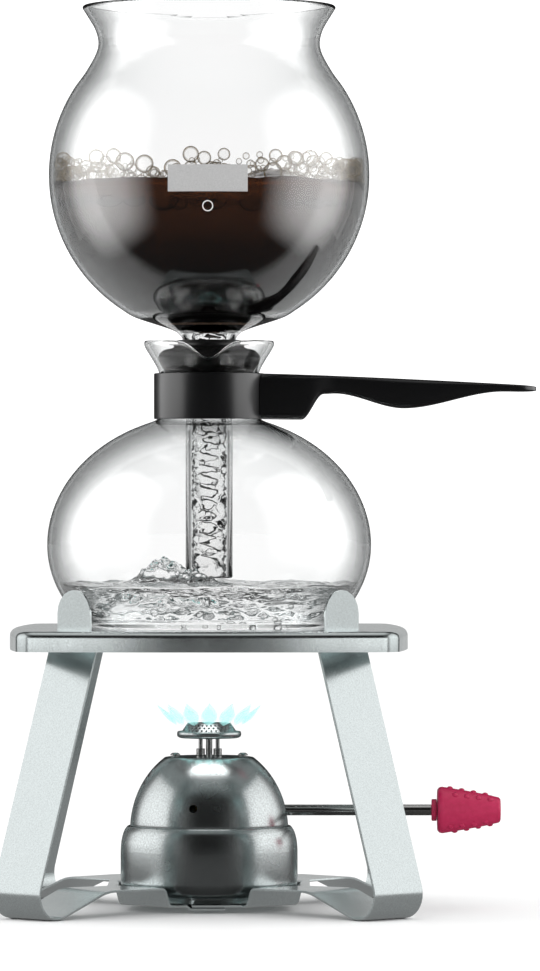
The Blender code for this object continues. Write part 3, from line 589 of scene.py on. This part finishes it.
def pool(inside, low, level, surface, rings=44, sides=SIDES * 2, steps=18):
    """A liquid in a round vessel. inside(z) is its radius, and surface(x, y) the height of its top over the level."""
    shape = bmesh.new()
    heights = [low + (level - low) * k / steps for k in range(steps)]
    edge_r = inside(level)
    layers = [(0, low, False)] + [(inside(z), z, False) for z in heights]
    layers += [(edge_r * (1 - k / rings), level, True) for k in range(rings + 1)]
    rows = []
    for r, z, top in layers:
        row = []
        for a in all_round(sides if r > 1e-6 else 1):
            x, y = r * math.cos(a), r * math.sin(a)
            lift = surface(x, y) if top else 0.0
            if top and r > edge_r * 0.999:
                grip = inside(level + lift) / edge_r
                x, y = x * grip, y * grip
            row.append(shape.verts.new((AXIS_X + x, y, z + lift)))
        rows.append(row)
    return skinned(shape, rows)


def mound(x, y, centre, height, size):
    """The height of a rounded heap at a place."""
    away = ((x - centre[0]) ** 2 + (y - centre[1]) ** 2) / size**2
    return height * math.exp(-away)


def coffee_surface(x, y):
    swirl = mound(x, y, (0.030, -0.048), 0.0050, 0.013) * (1 + 0.35 * waves(x, y, 0.004, 3.0))
    return 0.0010 * waves(x, y, 0.020, 1.0) + swirl


def coffee(looks):
    shape = pool(lambda z: bowl_inside(z) - FILM, 0.2860, COFFEE_Z, coffee_surface)
    piece("coffee_brew", shape, "funnel", looks["coffee"], sharp=None)


def foam(looks):
    """Clear bubbles that cling to the wall, in a band that has a gap beside the swirl."""
    rng = random.Random(7)
    wanted, most_tries, thick, thin = 330, 12000, 0.0105, 0.002
    bubbles = []
    tries = 0
    while len(bubbles) < wanted and tries < most_tries:
        tries += 1
        r = rng.choice((0.0014, 0.0018, 0.0024, 0.0031, 0.0040)) * rng.uniform(0.85, 1.15)
        a = rng.uniform(0, math.tau)
        in_gap = 0.15 < -math.cos(a) < 0.42 and math.sin(a) < 0
        z = COFFEE_Z + 0.2 * r + rng.random() ** 1.3 * (thin if in_gap else thick)
        reach = bowl_inside(z) - r * 1.02 - rng.random() ** 2 * 0.006
        centre = Vector((reach * math.cos(a), reach * math.sin(a), z))
        if all((centre - other).length > (r + size) * 0.72 for other, size in bubbles):
            bubbles.append((centre, r))
    shapes = [ball_shape(centre, r, 3 if r > 0.0022 else 2) for centre, r in bubbles]
    piece("coffee_foam", joined(shapes), "funnel", looks["bubble"], sharp=None)


def carafe_line():
    """The carafe's outer side, from its lip down to its flat base."""
    lip = [(MOUTH_R, MOUTH_Z - 0.0006), (0.0318, MOUTH_Z - 0.0022), (0.0303, MOUTH_Z - 0.0050)]
    lip += [(0.0267, NECK_HIGH_Z + 0.0046), (NECK_R + 0.0004, NECK_HIGH_Z + 0.0008), (NECK_R, NECK_HIGH_Z - 0.003)]
    neck = [(NECK_R, NECK_LOW_Z + 0.004), (NECK_R + 0.0001, NECK_LOW_Z + 0.0008), (0.0263, NECK_LOW_Z - 0.0012)]
    widest = (CARAFE_R, CARAFE_WIDEST_Z)
    ball = [ellipse(widest, CARAFE_RISE, math.radians(a)) for a in range(66, -1, -6)]
    ball += [ellipse(widest, CARAFE_DROP, math.radians(a)) for a in range(-6, -42, -6)]
    base = [(0.0585, CARAFE_BOTTOM_Z + 0.0030), (0.0540, CARAFE_BOTTOM_Z + 0.0006), (0.0490, CARAFE_BOTTOM_Z)]
    line = through(lip + neck + ball + base)
    return line + [(0.030, CARAFE_BOTTOM_Z), (0, CARAFE_BOTTOM_Z)]


def carafe_inside(z):
    """The radius of the carafe's inner side at a height in its ball."""
    height = CARAFE_DROP if z < CARAFE_WIDEST_Z else CARAFE_RISE
    share = (z - CARAFE_WIDEST_Z) / (height - GLASS_WALL)
    return (CARAFE_R - GLASS_WALL) * math.sqrt(max(0.0, 1 - share**2))


def carafe(looks):
    shape = turned(walled(carafe_line(), GLASS_WALL, (True, False)))
    for vertex in shape.verts:
        x, y, z = vertex.co - AXIS
        rise = max(0.0, (z - NECK_HIGH_Z) / (MOUTH_Z - NECK_HIGH_Z))
        if rise > 0 and y < 0:
            pull = math.exp(-((x / (0.52 * SPOUT_HALF_WIDTH)) ** 2)) * rise**1.4
            vertex.co.z -= SPOUT_DEPTH * pull
            vertex.co.y -= SPOUT_LIP * pull
    piece("carafe_bowl", shape, "carafe", looks["glass"], ("carafe_glass",), sharp=None)


def water_surface(x, y):
    ripples = 0.0011 * waves(x, y, 0.016, 5.0) + 0.0004 * waves(x, y, 0.005, 9.0)
    splash = mound(x, y, (-0.024, -0.012), 0.0125, 0.0105) + mound(x, y, (-0.006, -0.014), 0.0060, 0.0080)
    return ripples + splash * (1 + 0.55 * waves(x, y, 0.006, 2.0))


def water(looks):
    """The water left in the carafe, its bubbles, and the water that rises in the tube."""
    flat_z, bend, flat_r = CARAFE_BOTTOM_Z + GLASS_WALL + FILM, 0.006, 0.050

    def inside(z):
        if z < flat_z + bend:
            t = (z - flat_z) / bend
            return flat_r + (carafe_inside(flat_z + bend) - flat_r) * math.sqrt(max(0.0, 1 - (1 - t) ** 2)) - FILM
        return carafe_inside(z) - FILM

    shape = pool(inside, flat_z, WATER_Z, water_surface, rings=80, sides=240)
    piece("carafe_water", shape, "carafe", looks["water"], sharp=None)

    rng = random.Random(11)
    shapes = []
    for _ in range(70):
        r = rng.choice((0.0005, 0.0008, 0.0012, 0.0018)) * rng.uniform(0.8, 1.2)
        a, reach = rng.uniform(0, math.tau), 0.058 * math.sqrt(rng.random())
        z = CARAFE_BOTTOM_Z + 0.0035 + rng.random() ** 1.5 * 0.018 + r
        shapes.append(ball_shape((reach * math.cos(a), reach * math.sin(a), z), r, 2))
    piece("boiling_bubbles", joined(shapes), "carafe", looks["water"], sharp=None)

    low, high, core, steps = TUBE_LOW_Z + 0.0010, BOWL_Z - BOWL_R + 0.0030, TUBE_R - GLASS_WALL - 0.0003, 160
    column = [(core, high + (low - high) * k / steps) for k in range(steps + 1)]
    stream = turned([(0, high)] + column + [(0, low)], sides=40, closed=False)
    for vertex in stream.verts:
        x, y, z = vertex.co - AXIS
        away = math.hypot(x, y)
        if away > 0.001:
            lump = noise.fractal(Vector((x / 0.0060, y / 0.0060, z / 0.0085)), 0.7, 2.2, 4)
            shrink = 1 - min(0.5, 0.04 + 0.38 * abs(lump))
            vertex.co.x = AXIS_X + x * shrink
            vertex.co.y = y * shrink
    piece("rising_water", stream, "funnel", looks["water"], sharp=None)


# -------- filter


def filter_set(looks):
    low, high = span("filter_plate", "z")
    thick, boss = 0.0025, 0.0045
    r = half_width("filter_plate")
    plate = [(0, high), (r, high), (r, high - thick), (0.0050, high - thick), (0.0045, high - thick - boss)]
    shape = turned(softened(plate + [(0, low)], 0.0005, closed=False), 64, closed=False)
    piece("filter_disc", shape, "filter", looks["nylon"], ("filter_plate",))

    low, high = span("filter_screen", "z")
    wide = half_width("filter_screen")
    dome = [(wide * math.sin(a), low + (high - low) * math.cos(a)) for a in map(math.radians, range(0, 91, 9))]
    shape = turned(walled(dome, 0.0007, (False, False)), 64)
    piece("filter_mesh", shape, "filter", looks["bright"], ("filter_screen",))

    wire_r, coil_r, pitch, turns, steps, coil_low = 0.0004, 0.0034, 0.0056, 12, 20, 0.1723
    top = coil_low + turns * pitch
    points = [(0, 0, span("filter_spring", "z")[1]), (0, 0, top + 0.0045), (0.0012, 0, top + 0.0015)]
    for i in range(turns * steps + 1):
        a = math.tau * i / steps
        points.append((coil_r * math.cos(a), coil_r * math.sin(a), top - pitch * i / steps))
    low = TUBE_LOW_Z
    points += [(0.0050, 0.0002, coil_low - 0.0016), (0.0062, 0, coil_low - 0.0035), (0.0079, 0, low + 0.0030)]
    points += [(0.0080, 0, low + 0.0018), (0.0076, 0, low + 0.0012), (0.0070, 0, low + 0.0010)]
    path = bpy.data.curves.new("filter_coil", "CURVE")
    path.dimensions = "3D"
    path.bevel_depth = wire_r
    path.bevel_resolution = 3
    path.use_fill_caps = True
    line = path.splines.new("POLY")
    line.points.add(len(points) - 1)
    for point, (x, y, z) in zip(line.points, points):
        point.co = (AXIS_X + x, y, z, 1)
    path.materials.append(looks["bright"])
    coil = in_scene("filter_coil", path)
    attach(coil, "filter")
    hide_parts("filter_spring")


# -------- collar and handle


def collar(looks):
    low, high, r = COLLAR_LOW_Z, COLLAR_HIGH_Z, COLLAR_R
    inner, slot_half, lug_half = r - 0.0024, 0.0015, 0.0037
    outline = [(inner, high), (r, high), (r, low), (inner + 0.0010, low), (inner, low + 0.0014)]
    shape = turned(softened(outline, 0.0006))
    band = piece("collar_ring", shape, "carafe", looks["plastic"], ("collar_band",))
    lug_end = span("collar_band", "x")[1]
    for side in (-1, 1):
        near, far = sorted((side * slot_half, side * lug_half))
        carve(band, box_shape((AXIS_X + inner + 0.0012, near, low + 0.002), (lug_end, far, high - 0.004)), "UNION")
    carve(band, box_shape((AXIS_X + 0.015, -slot_half, low - 0.01), (lug_end + 0.01, slot_half, high + 0.01)))
    clamp = middle_of("clamp_screw")
    carve(band, rod_shape((clamp.x, -0.02, clamp.z), (clamp.x, 0.02, clamp.z), CLAMP_HOLE_R))
    shaded(band, 35)


HANDLE_TIP, TIP_ROUND, HANDLE_DROOP = 0.1613, 0.0095, 0.0062
# Along the handle: the heights of its underside, then its half widths.
HANDLE_BELOW = ((0.0200, 0.2410), (0.0455, 0.2408), (0.0565, 0.2535), (0.0620, 0.2537))
HANDLE_BELOW += ((0.0960, 0.2464), (0.1450, 0.2547), (0.1613, 0.2545))
HANDLE_HALF_WIDTHS = ((0.0200, 0.0115), (0.0480, 0.0115), (0.0640, 0.0085), (0.1150, 0.0115), (0.1613, 0.0110))


def eased(knots, x):
    """The value at x of a curve that passes level through each of the knots."""
    for (x0, y0), (x1, y1) in zip(knots, knots[1:]):
        if x <= x1:
            t = max(0.0, (x - x0) / (x1 - x0))
            return y0 + (y1 - y0) * t * t * (3 - 2 * t)
    return knots[-1][1]


def handle(looks):
    """A loft of rounded sections from the block at the collar to the flat tip."""
    start = HANDLE_BELOW[0][0]
    stations = [start + (0.045 - start) * i / 6 for i in range(6)]
    stations += [0.045 + 0.0009 * i for i in range(24)]
    stations += [0.0666 + (HANDLE_TIP - TIP_ROUND - 0.0666) * i / 36 for i in range(36)]
    stations += [HANDLE_TIP - TIP_ROUND * math.cos(math.radians(a)) for a in range(0, 89, 8)]
    shape = bmesh.new()
    rings = []
    for x in stations:
        along = (x - start) / (HANDLE_TIP - start)
        above = COLLAR_HIGH_Z - HANDLE_DROOP * along**1.3
        below = eased(HANDLE_BELOW, x)
        end = max(0.0, 1 - (HANDLE_TIP - x) / TIP_ROUND)
        tip = math.sqrt(max(0.0, 1 - end**2))
        wide = eased(HANDLE_HALF_WIDTHS, x) * (0.25 + 0.75 * tip)
        tall = (above - below) / 2 * (0.55 + 0.45 * tip)
        ring = []
        for a in all_round(48):
            c, s = math.cos(a), math.sin(a)
            y = wide * math.copysign(abs(c) ** 0.36, c)
            z = (above + below) / 2 + tall * math.copysign(abs(s) ** 0.36, s)
            ring.append(shape.verts.new((AXIS_X + x, y, z)))
        rings.append(ring)
    shape = skinned(shape, rings, capped=True)
    grip = piece("handle_grip", shape, "carafe", looks["plastic"], ("handle",))
    lug_end = span("collar_band", "x")[1]
    clamp = middle_of("clamp_screw")
    carve(grip, rod_shape((AXIS_X, 0, 0.22), (AXIS_X, 0, 0.27), COLLAR_R + 0.0002, sides=SIDES))
    carve(grip, box_shape((AXIS_X + 0.010, -0.004, 0.22), (lug_end + 0.001, 0.004, COLLAR_HIGH_Z - 0.0035)))
    for start, end, radius in ((0.0085, 0.02, 0.0036), (0, 0.02, CLAMP_HOLE_R), (0, -0.0095, 0.0029)):
        carve(grip, rod_shape((clamp.x, start, clamp.z), (clamp.x, end, clamp.z), radius))
    shaded(grip, 40)


# -------- burner


def tank(looks):
    top = SEAM_Z
    side = [(0.0404, top), (TANK_R - 0.0016, top - 0.0026), (TANK_R - 0.0004, top - 0.0070), (TANK_R, top - 0.0120)]
    corner = (TANK_R - 0.007, 0.014)
    line = through(side, 5) + arc(corner, 0.007, 0, -math.pi / 2, 10)
    line += [(0.0358, TANK_FOOT_Z), (0.0325, TANK_FOOT_Z), (0.0300, 0.0079), (0.020, 0.0079), (0, 0.0079)]
    can = turned(walled(line, CAN_SHEET, (True, False)), SIDES * 2)
    hull = piece("tank_can", can, "burner", looks["satin"], ("tank_cup",))
    refill_x = middle_of("refill_seat").x
    carve(hull, rod_shape((refill_x, 0, 0), (refill_x, 0, 0.014), 0.0045))
    shaded(hull, 40)


def dome(looks):
    """The cap over the valve, with its pilot hole, its vents and the holes for the rod and two screws."""
    low = math.asin((SEAM_Z + 0.0004 - DOME_Z) / DOME_RISE)
    high = math.radians(56)
    side = [ellipse((DOME_R, DOME_Z), DOME_RISE, high + (low - high) * i / 30) for i in range(31)]
    crown = [(0.0020, DOME_TOP), (DOME_FLAT_R - 0.0040, DOME_TOP), (DOME_FLAT_R - 0.0015, DOME_TOP - 0.0001)]
    crown.append((DOME_FLAT_R, DOME_TOP - 0.0003))
    shape = turned(walled(crown + side, CAN_SHEET), SIDES * 2)
    shell = piece("dome_cover", shape, "burner", looks["satin"], ("dome_shell",))
    pilot_x, pilot_z = AXIS_X - 0.0075, 0.0508
    carve(shell, rod_shape((pilot_x, -0.05, pilot_z), (pilot_x, -0.02, pilot_z), 0.0020, 32))
    carve(shell, rod_shape((AXIS_X + 0.02, 0, ROD_Z), (AXIS_X + 0.06, 0, ROD_Z), ROD_R + 0.0006, 32))
    for end in (-1, 1):
        x = AXIS_X + end * SCREW_X
        carve(shell, rod_shape((x, 0, 0.065), (x, 0, 0.09), 0.0014))
        outward = Matrix.Rotation(-end * math.radians(14), 3, "Z") @ Vector((end, 0, 0.25))
        for row in range(3):
            start = Vector((AXIS_X, 0, 0.0535 + 0.0042 * row)) + outward * (0.0240 - 0.0012 * row)
            carve(shell, rod_shape(start, start + outward * 0.016, 0.0011))
    shaded(shell, 40)


def head(looks):
    """The dished cup and its perforated cap."""
    low, rim, r = HEAD_LOW_Z, HEAD_RIM_Z + 0.0010, HEAD_R
    outline = [(0, low + 0.0014), (r - 0.0026, low + 0.0014), (r - 0.0020, rim), (r - 0.0004, rim), (r, rim - 0.0012)]
    outline += [(r - 0.0002, low + 0.0010), (r - 0.0016, low + 0.0002), (0.0070, low), (0, low)]
    shape = turned(softened(outline, 0.0005, closed=False), closed=False)
    piece("burner_cup", shape, "burner", looks["satin"], ("head_cup",))

    wall, roof = 0.0007, CAP_TOP_Z - 0.0007
    outline = [(0, CAP_TOP_Z), (CAP_TOP_R, CAP_TOP_Z), (CAP_R, CAP_LOW_Z), (CAP_R - wall, CAP_LOW_Z)]
    outline += [(CAP_TOP_R - wall, roof), (0, roof)]
    shape = turned(softened(outline, 0.0006, closed=False), closed=False)
    cap = piece("burner_cap", shape, "burner", looks["satin"], ("head_cap",))
    holes, hole_r = [], 0.00058
    for row, (share, count) in enumerate(((0.24, 34), (0.50, 34), (0.76, 34))):
        r = CAP_R + (CAP_TOP_R - CAP_R) * share
        z = CAP_LOW_Z + (CAP_TOP_Z - CAP_LOW_Z) * share
        for k in range(count):
            a = math.tau * (k + 0.5 * (row % 2)) / count
            out = Vector((math.cos(a), math.sin(a), 0.62))
            middle = Vector((AXIS_X + r * math.cos(a), r * math.sin(a), z))
            holes.append(rod_shape(middle - out * 0.0016, middle + out * 0.0010, hole_r, 8))
    for reach, count in ((0.0, 1), (0.0026, 6), (0.0052, 12), (0.0078, 18)):
        for a in all_round(count):
            x, y = AXIS_X + reach * math.cos(a), reach * math.sin(a)
            holes.append(rod_shape((x, y, roof - 0.001), (x, y, CAP_TOP_Z + 0.001), hole_r, 8))
    carve(cap, joined(holes))
    shaded(cap, 40)


def flames(looks):
    """A ring of flame petals that lean out from the cap's edge."""
    count, around, rows, foot_r = 14, 12, 14, 0.0162
    length, lean, half, flatness = 0.0142, math.radians(46), 0.0041, 0.35
    shapes = []
    for k in range(count):
        a = math.tau * (k + 0.5) / count
        petal = bmesh.new()
        rings = []
        for j in range(rows + 1):
            t = j / rows
            wide = half * math.sin(math.pi * t**0.75) ** 1.15 + 0.00002
            spots = [(wide * math.cos(s), flatness * wide * math.sin(s), length * t) for s in all_round(around)]
            rings.append([petal.verts.new(spot) for spot in spots])
        skinned(petal, rings, capped=True)
        turn = Matrix.Rotation(a + math.pi / 2, 4, "Z") @ Matrix.Rotation(lean, 4, "X")
        base = Vector((AXIS_X + foot_r * math.cos(a), foot_r * math.sin(a), CAP_TOP_Z - 0.0010))
        petal.transform(Matrix.Translation(base) @ turn)
        shapes.append(petal)
    piece("flame_petals", joined(shapes), "burner", looks["flame"], sharp=None)


# -------- knob


def knob(looks):
    big, small, low, out = KNOB_BIG_R, KNOB_SMALL_R, KNOB_IN, KNOB_OUT
    flank = []
    for i in range(13):
        t = i / 12
        flank.append((small + (big - small) * t**0.85, out - 0.0026 - (out - low - 0.0050) * t))
    outline = [(0, out), (small - 0.0014, out - 0.0001), (small - 0.0003, out - 0.0010)] + flank
    outline += [(big - 0.0003, low + 0.0010), (big - 0.0014, low), (0.0047, low), (0.0047, out - 0.0027)]
    outline.append((0, out - 0.0027))
    shape = aimed_along_x(turned(softened(outline, 0.0005, closed=False), 72, closed=False), ROD_Z)
    sleeve = piece("knob_grip", shape, "valve", looks["silicone"], ("knob_sleeve",))
    dots = []
    for row, degrees in enumerate((90, 48, -48, -90, -132, 132)):
        a = math.radians(degrees)
        for k in range(4):
            t = 0.16 + 0.22 * k + 0.09 * (row % 2)
            x = low + 0.0020 + (out - low - 0.0050) * t
            r = small + (big - small) * (1 - t) ** 0.85
            dot = bmesh.new()
            bmesh.ops.create_uvsphere(dot, u_segments=20, v_segments=10, radius=1)
            dot.transform(Matrix.Diagonal((0.0015, 0.0015, 0.0010, 1)))
            turn = Matrix.Rotation(math.pi / 2 - a, 4, "X") @ Matrix.Translation((0, 0, r - 0.0001))
            dot.transform(Matrix.Translation((AXIS_X + x, 0, ROD_Z)) @ turn)
            dots.append(dot)
    carve(sleeve, joined(dots), "UNION")
    shaded(sleeve, 60)

    near, far = (x - AXIS_X for x in span("knob_collar", "x"))
    outline = [(ROD_R + 0.0003, far), (0.0054, far), (0.0054, near), (ROD_R + 0.0003, near)]
    shape = aimed_along_x(turned(softened(outline, 0.0004), 48), ROD_Z)
    piece("knob_ring", shape, "valve", looks["silicone"], ("knob_collar",))

    near, far = (x - AXIS_X for x in span("valve_rod", "x"))
    outline = [(0, far), (ROD_R, far), (ROD_R, near), (0, near)]
    shape = aimed_along_x(turned(softened(outline, 0.0005, closed=False), 48, closed=False), ROD_Z)
    piece("spindle_rod", shape, "valve", looks["bright"], ("valve_rod",))


# -------- stand


def plate_outline(inset):
    """The bowed square plate's edge, moved in by an inset: four long arcs joined by four corner arcs."""
    chord = PLATE_CORNER_HALF
    sag = PLATE_HALF - PLATE_CORNER_HALF
    bow = (chord**2 + sag**2) / (2 * sag)
    middle = PLATE_HALF - bow
    corner = (middle + math.sqrt(2 * (bow - PLATE_CORNER_R) ** 2 - middle**2)) / 2
    meet = math.atan2(corner, corner - middle)
    side = arc((middle, 0), bow - inset, -meet, meet, 24)
    side += arc((corner, corner), PLATE_CORNER_R - inset, meet, math.pi / 2 - meet, 14)[1:-1]
    turns = [Matrix.Rotation(k * math.pi / 2, 2) for k in range(4)]
    return [turn @ Vector(point) for turn in turns for point in side]


def plate(looks):
    rings = [[(p.normalized() * PLATE_HOLE_R, PLATE_TOP) for p in plate_outline(0)]]
    for a in range(0, 91, 10):
        inset = PLATE_BEND_R * (1 - math.sin(math.radians(a)))
        z = PLATE_TOP - PLATE_BEND_R * (1 - math.cos(math.radians(a)))
        rings.append([(p, z) for p in plate_outline(inset)])
    rings.append([(p, PLATE_BOTTOM) for p in plate_outline(0)])
    shape = bmesh.new()
    rings = [[shape.verts.new((AXIS_X + p.x, p.y, z)) for p, z in ring] for ring in rings]
    top = piece("trivet_top", skinned(shape, rings), "stand", looks["silver"], ("trivet_plate",))
    sheet = top.modifiers.new("sheet", "SOLIDIFY")
    sheet.thickness = PLATE_SHEET
    sheet.offset = -1
    sheet.use_even_offset = True
    evaluated(top)
    shaded(top, 35)


def stand(looks):
    for name in ("stand_half_left", "stand_half_right"):
        finer(name, "stand", looks["silver"], 0.00028)


def small_parts(looks):
    """CAD nodes whose shape is right: their hard edges are rounded, or they only get their material."""
    edge = 0.00015
    finer("clamp_screw", "carafe", looks["bright"], edge)
    for name in ("burner_stem", "head_post_left", "head_post_right", "dome_screw_left", "dome_screw_right"):
        finer(name, "burner", looks["bright"], edge)
    plain = {
        "satin": ("lap_rivet_front", "lap_rivet_rear", "tank_lid"),
        "bright": ("head_gauze",),
        "brass": ("clamp_insert", "valve_body", "jet", "refill_seat", "refill_stem"),
        "plastic": ("knob_core",),
    }
    for look, names in plain.items():
        for name in names:
            mesh = NODES[name].data
            mesh.materials.clear()
            mesh.materials.append(looks[look])


def refill_coil(looks):
    """The refill valve's spring: a copy of its CAD mesh in bright steel, which stands for it."""
    mesh = NODES["refill_spring"].data.copy()
    mesh.materials.clear()
    mesh.materials.append(looks["bright"])
    coil = in_scene("refill_coil", mesh)
    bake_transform(coil)
    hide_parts("refill_spring")


# -------- studio


def math_node(made, operation, *sources, clamp=False):
    """The result of a Math node on one or two outputs or plain numbers."""
    result = node(made, "Math")
    result.operation = operation
    result.use_clamp = clamp
    for source, socket in zip(sources, result.inputs):
        if isinstance(source, (int, float)):
            socket.default_value = source
        else:
            link(made, source, socket)
    return result.outputs["Value"]


def mixed(made, share, first, second):
    """A mix of two colours, each an output or a grey."""
    mix = node(made, "MixRGB")
    for source, socket in ((share, "Fac"), (first, "Color1"), (second, "Color2")):
        if isinstance(source, float):
            mix.inputs[socket].default_value = (*grey(source), 1)
        else:
            link(made, source, mix.inputs[socket])
    return mix.outputs["Color"]


def floor():
    """A pale, slightly glossy floor. Mirrored rays, and rays bent inside thick glass, see it dark."""
    made = bpy.data.materials.new("studio_floor")
    made.use_nodes = True
    made.node_tree.nodes.clear()
    out = node(made, "OutputMaterial")
    matt = node(made, "BsdfDiffuse", Color=(0.93, 0.93, 0.93, 1))
    shiny = node(made, "BsdfGlossy", Color=(0.95, 0.95, 0.95, 1), Roughness=0.09)
    dark = node(made, "BsdfDiffuse", Color=(0.05, 0.05, 0.05, 1))
    paths = node(made, "LightPath").outputs
    mirrored = math_node(made, "MULTIPLY", paths["Is Glossy Ray"], paths["Is Reflection Ray"])
    place = node(made, "SeparateXYZ")
    link(made, node(made, "NewGeometry").outputs["Position"], place.inputs["Vector"])
    front = node(made, "MapRange", From_Min=-0.02, From_Max=-0.09)
    link(made, place.outputs["Y"], front.inputs["Value"])
    bounced = math_node(made, "MULTIPLY", paths["Is Transmission Ray"], paths["Glossy Depth"], clamp=True)
    bounced = math_node(made, "MULTIPLY", bounced, front.outputs["Result"])
    surface = node(made, "MixShader", Fac=0.12)
    seen = node(made, "MixShader")
    for mix, first, second in ((surface, matt, shiny), (seen, surface, dark)):
        link(made, first.outputs[0], mix.inputs[1])
        link(made, second.outputs[0], mix.inputs[2])
    link(made, math_node(made, "MAXIMUM", mirrored, bounced), seen.inputs["Fac"])
    link(made, seen.outputs[0], out.inputs["Surface"])
    shape = bmesh.new()
    bmesh.ops.create_grid(shape, x_segments=1, y_segments=1, size=30, matrix=Matrix.Translation((AXIS_X, 0, -0.0002)))
    ground = in_scene("studio_floor", mesh_of("studio_floor", shape))
    ground.data.materials.append(made)


def world():
    """A white room to the eye and through glass. Metal sees darker front and back walls and a light ceiling."""
    made = bpy.data.worlds.new("studio")
    bpy.context.scene.world = made
    made.use_nodes = True
    made.cycles.sampling_method = "NONE"
    background = made.node_tree.nodes["Background"]
    way = node(made, "SeparateXYZ")
    link(made, node(made, "TexCoord").outputs["Generated"], way.inputs["Vector"])
    aside = math_node(made, "ABSOLUTE", way.outputs["X"])
    walls = ramp(made, aside, (0.34, grey(0.012)), (0.60, grey(0.08)), (0.90, grey(0.55)))
    ceiling = ramp(made, way.outputs["Z"], (0.78, grey(0.0)), (0.97, grey(1.0)))
    room = mixed(made, ceiling, walls, 0.60)
    squarely = math_node(made, "MAXIMUM", aside, math_node(made, "ABSOLUTE", way.outputs["Y"]))
    straight = ramp(made, squarely, (0.66, grey(0.16)), (0.94, grey(1.07)))
    bounced = ramp(made, way.outputs["Y"], (0.0, grey(0.04)), (0.66, grey(0.16)), (0.94, grey(1.07)))
    paths = node(made, "LightPath").outputs
    through_glass = mixed(made, paths["Glossy Depth"], straight, bounced)
    colour = mixed(made, paths["Is Glossy Ray"], 1.35, room)
    link(made, mixed(made, paths["Is Transmission Ray"], colour, through_glass), background.inputs["Color"])


def fade_edges(light, shares):
    """Dims a soft box towards its ends and towards its top and bottom, over a share of each length."""
    light.use_nodes = True
    across = node(light, "SeparateXYZ")
    link(light, node(light, "NewGeometry").outputs["Parametric"], across.inputs["Vector"])
    levels = []
    for axis, share in zip("XY", shares):
        middle = math_node(light, "SUBTRACT", across.outputs[axis], 0.5)
        level = node(light, "MapRange", From_Min=0.5, From_Max=0.5 - share)
        level.interpolation_type = "SMOOTHSTEP"
        link(light, math_node(light, "ABSOLUTE", middle), level.inputs["Value"])
        levels.append(level.outputs["Result"])
    link(light, math_node(light, "MULTIPLY", *levels), light.node_tree.nodes["Emission"].inputs["Strength"])


def soft_box(name, place, turn, size, radiance, lit=None, shape="RECTANGLE", fade=None):
    """An area lamp of that radiance, only met by light and by mirrored rays. It may be linked to a collection."""
    light = bpy.data.lights.new(name, "AREA")
    light.shape = shape
    light.size, light.size_y = size
    light.energy = radiance * math.pi * size[0] * size[1] * (1 if shape == "RECTANGLE" else math.pi / 4)
    if fade:
        fade_edges(light, fade)
    lamp = in_scene(name, light)
    lamp.location = Vector(place) + AXIS
    lamp.rotation_euler = turn
    lamp.visible_camera = False
    lamp.visible_transmission = False
    lamp.light_linking.receiver_collection = lit


def panel(name, start, end, low, high, radiance, lit=None, fade=None):
    """An upright soft box over a line on the floor, which faces right as seen from the start."""
    run = Vector(end) - Vector(start)
    middle = (Vector(start) + Vector(end)) / 2
    turn = (math.pi / 2, 0, math.atan2(run.y, run.x) + math.pi)
    soft_box(name, (middle.x, middle.y, (low + high) / 2), turn, (run.length, high - low), radiance, lit, fade=fade)


def pieces_in(name, looks, *wanted):
    """A collection of the pieces with certain materials, which a light can be linked to."""
    found = bpy.data.collections.new(name)
    for thing in bpy.data.objects:
        if thing.type in ("MESH", "CURVE") and set(thing.data.materials) & {looks[key] for key in wanted}:
            found.objects.link(thing)
    return found


def lights(looks):
    """Soft boxes on both sides. Clear and black pieces have brighter ones of their own, as in a retouched picture."""
    glassy = pieces_in("clear_pieces", looks, "glass", "water", "bubble", "coffee")
    black = pieces_in("black_pieces", looks, "plastic", "rubber")
    silver = pieces_in("stand_pieces", looks, "silver")
    for side, name in ((-1, "left"), (1, "right")):
        boxes = (
            ("side_box", (0.75, 0.55), (1.25, -0.75), -0.1, 1.2, 0.44, None, None),
            ("glass_box", (0.405, 0.21), (0.285, -0.41), 0.0, 0.80, 9.5, glassy, (0.46, 0.32)),
            ("black_box", (0.60, 0.40), (0.90, -0.70), 0.0, 1.0, 2.4, black, None),
            ("edge_box", (2.10, -2.00), (0.45, -3.00), -0.4, 0.8, 1.05, silver, None),
        )
        for kind, start, end, low, high, radiance, lit, fade in boxes:
            start, end = (side * start[0], start[1]), (side * end[0], end[1])
            if side < 0:
                start, end = end, start
            panel(f"{kind}_{name}", start, end, low, high, radiance, lit, fade)
    panel("back_box", (-1.0, 2.2), (1.0, 2.2), 0.0, 1.6, 0.5, silver)
    soft_box("floor_card", (0, 0.1, 0.0003), (math.pi, 0, 0), (3.0, 3.0), 0.20, silver)
    can = pieces_in("can_pieces", looks, "satin")
    soft_box("dome_glow", (0, -0.034, 0.1265), (0, 0, 0), (0.070, 0.030), 1.7, can, "ELLIPSE")


def camera():
    """A long lens at the carafe's height, that looks very slightly down."""
    lens = bpy.data.cameras.new("camera")
    distance, height, level = 3.4, 0.2143, 0.2084
    lens.lens = 255.8
    eye = in_scene("camera", lens)
    eye.location = (AXIS_X + 0.030, -distance, height)
    eye.rotation_euler = (math.pi / 2 - math.atan((height - level) / distance), 0, 0)
    bpy.context.scene.camera = eye


LOOKS = make_materials()
camera()
floor()
world()
bpy.context.scene.view_settings.view_transform = "Standard"

for build in (funnel, label, coffee, foam, carafe, water, filter_set, collar, handle):
    build(LOOKS)
for build in (tank, dome, head, flames, knob, plate, stand, small_parts, refill_coil, lights):
    build(LOOKS)
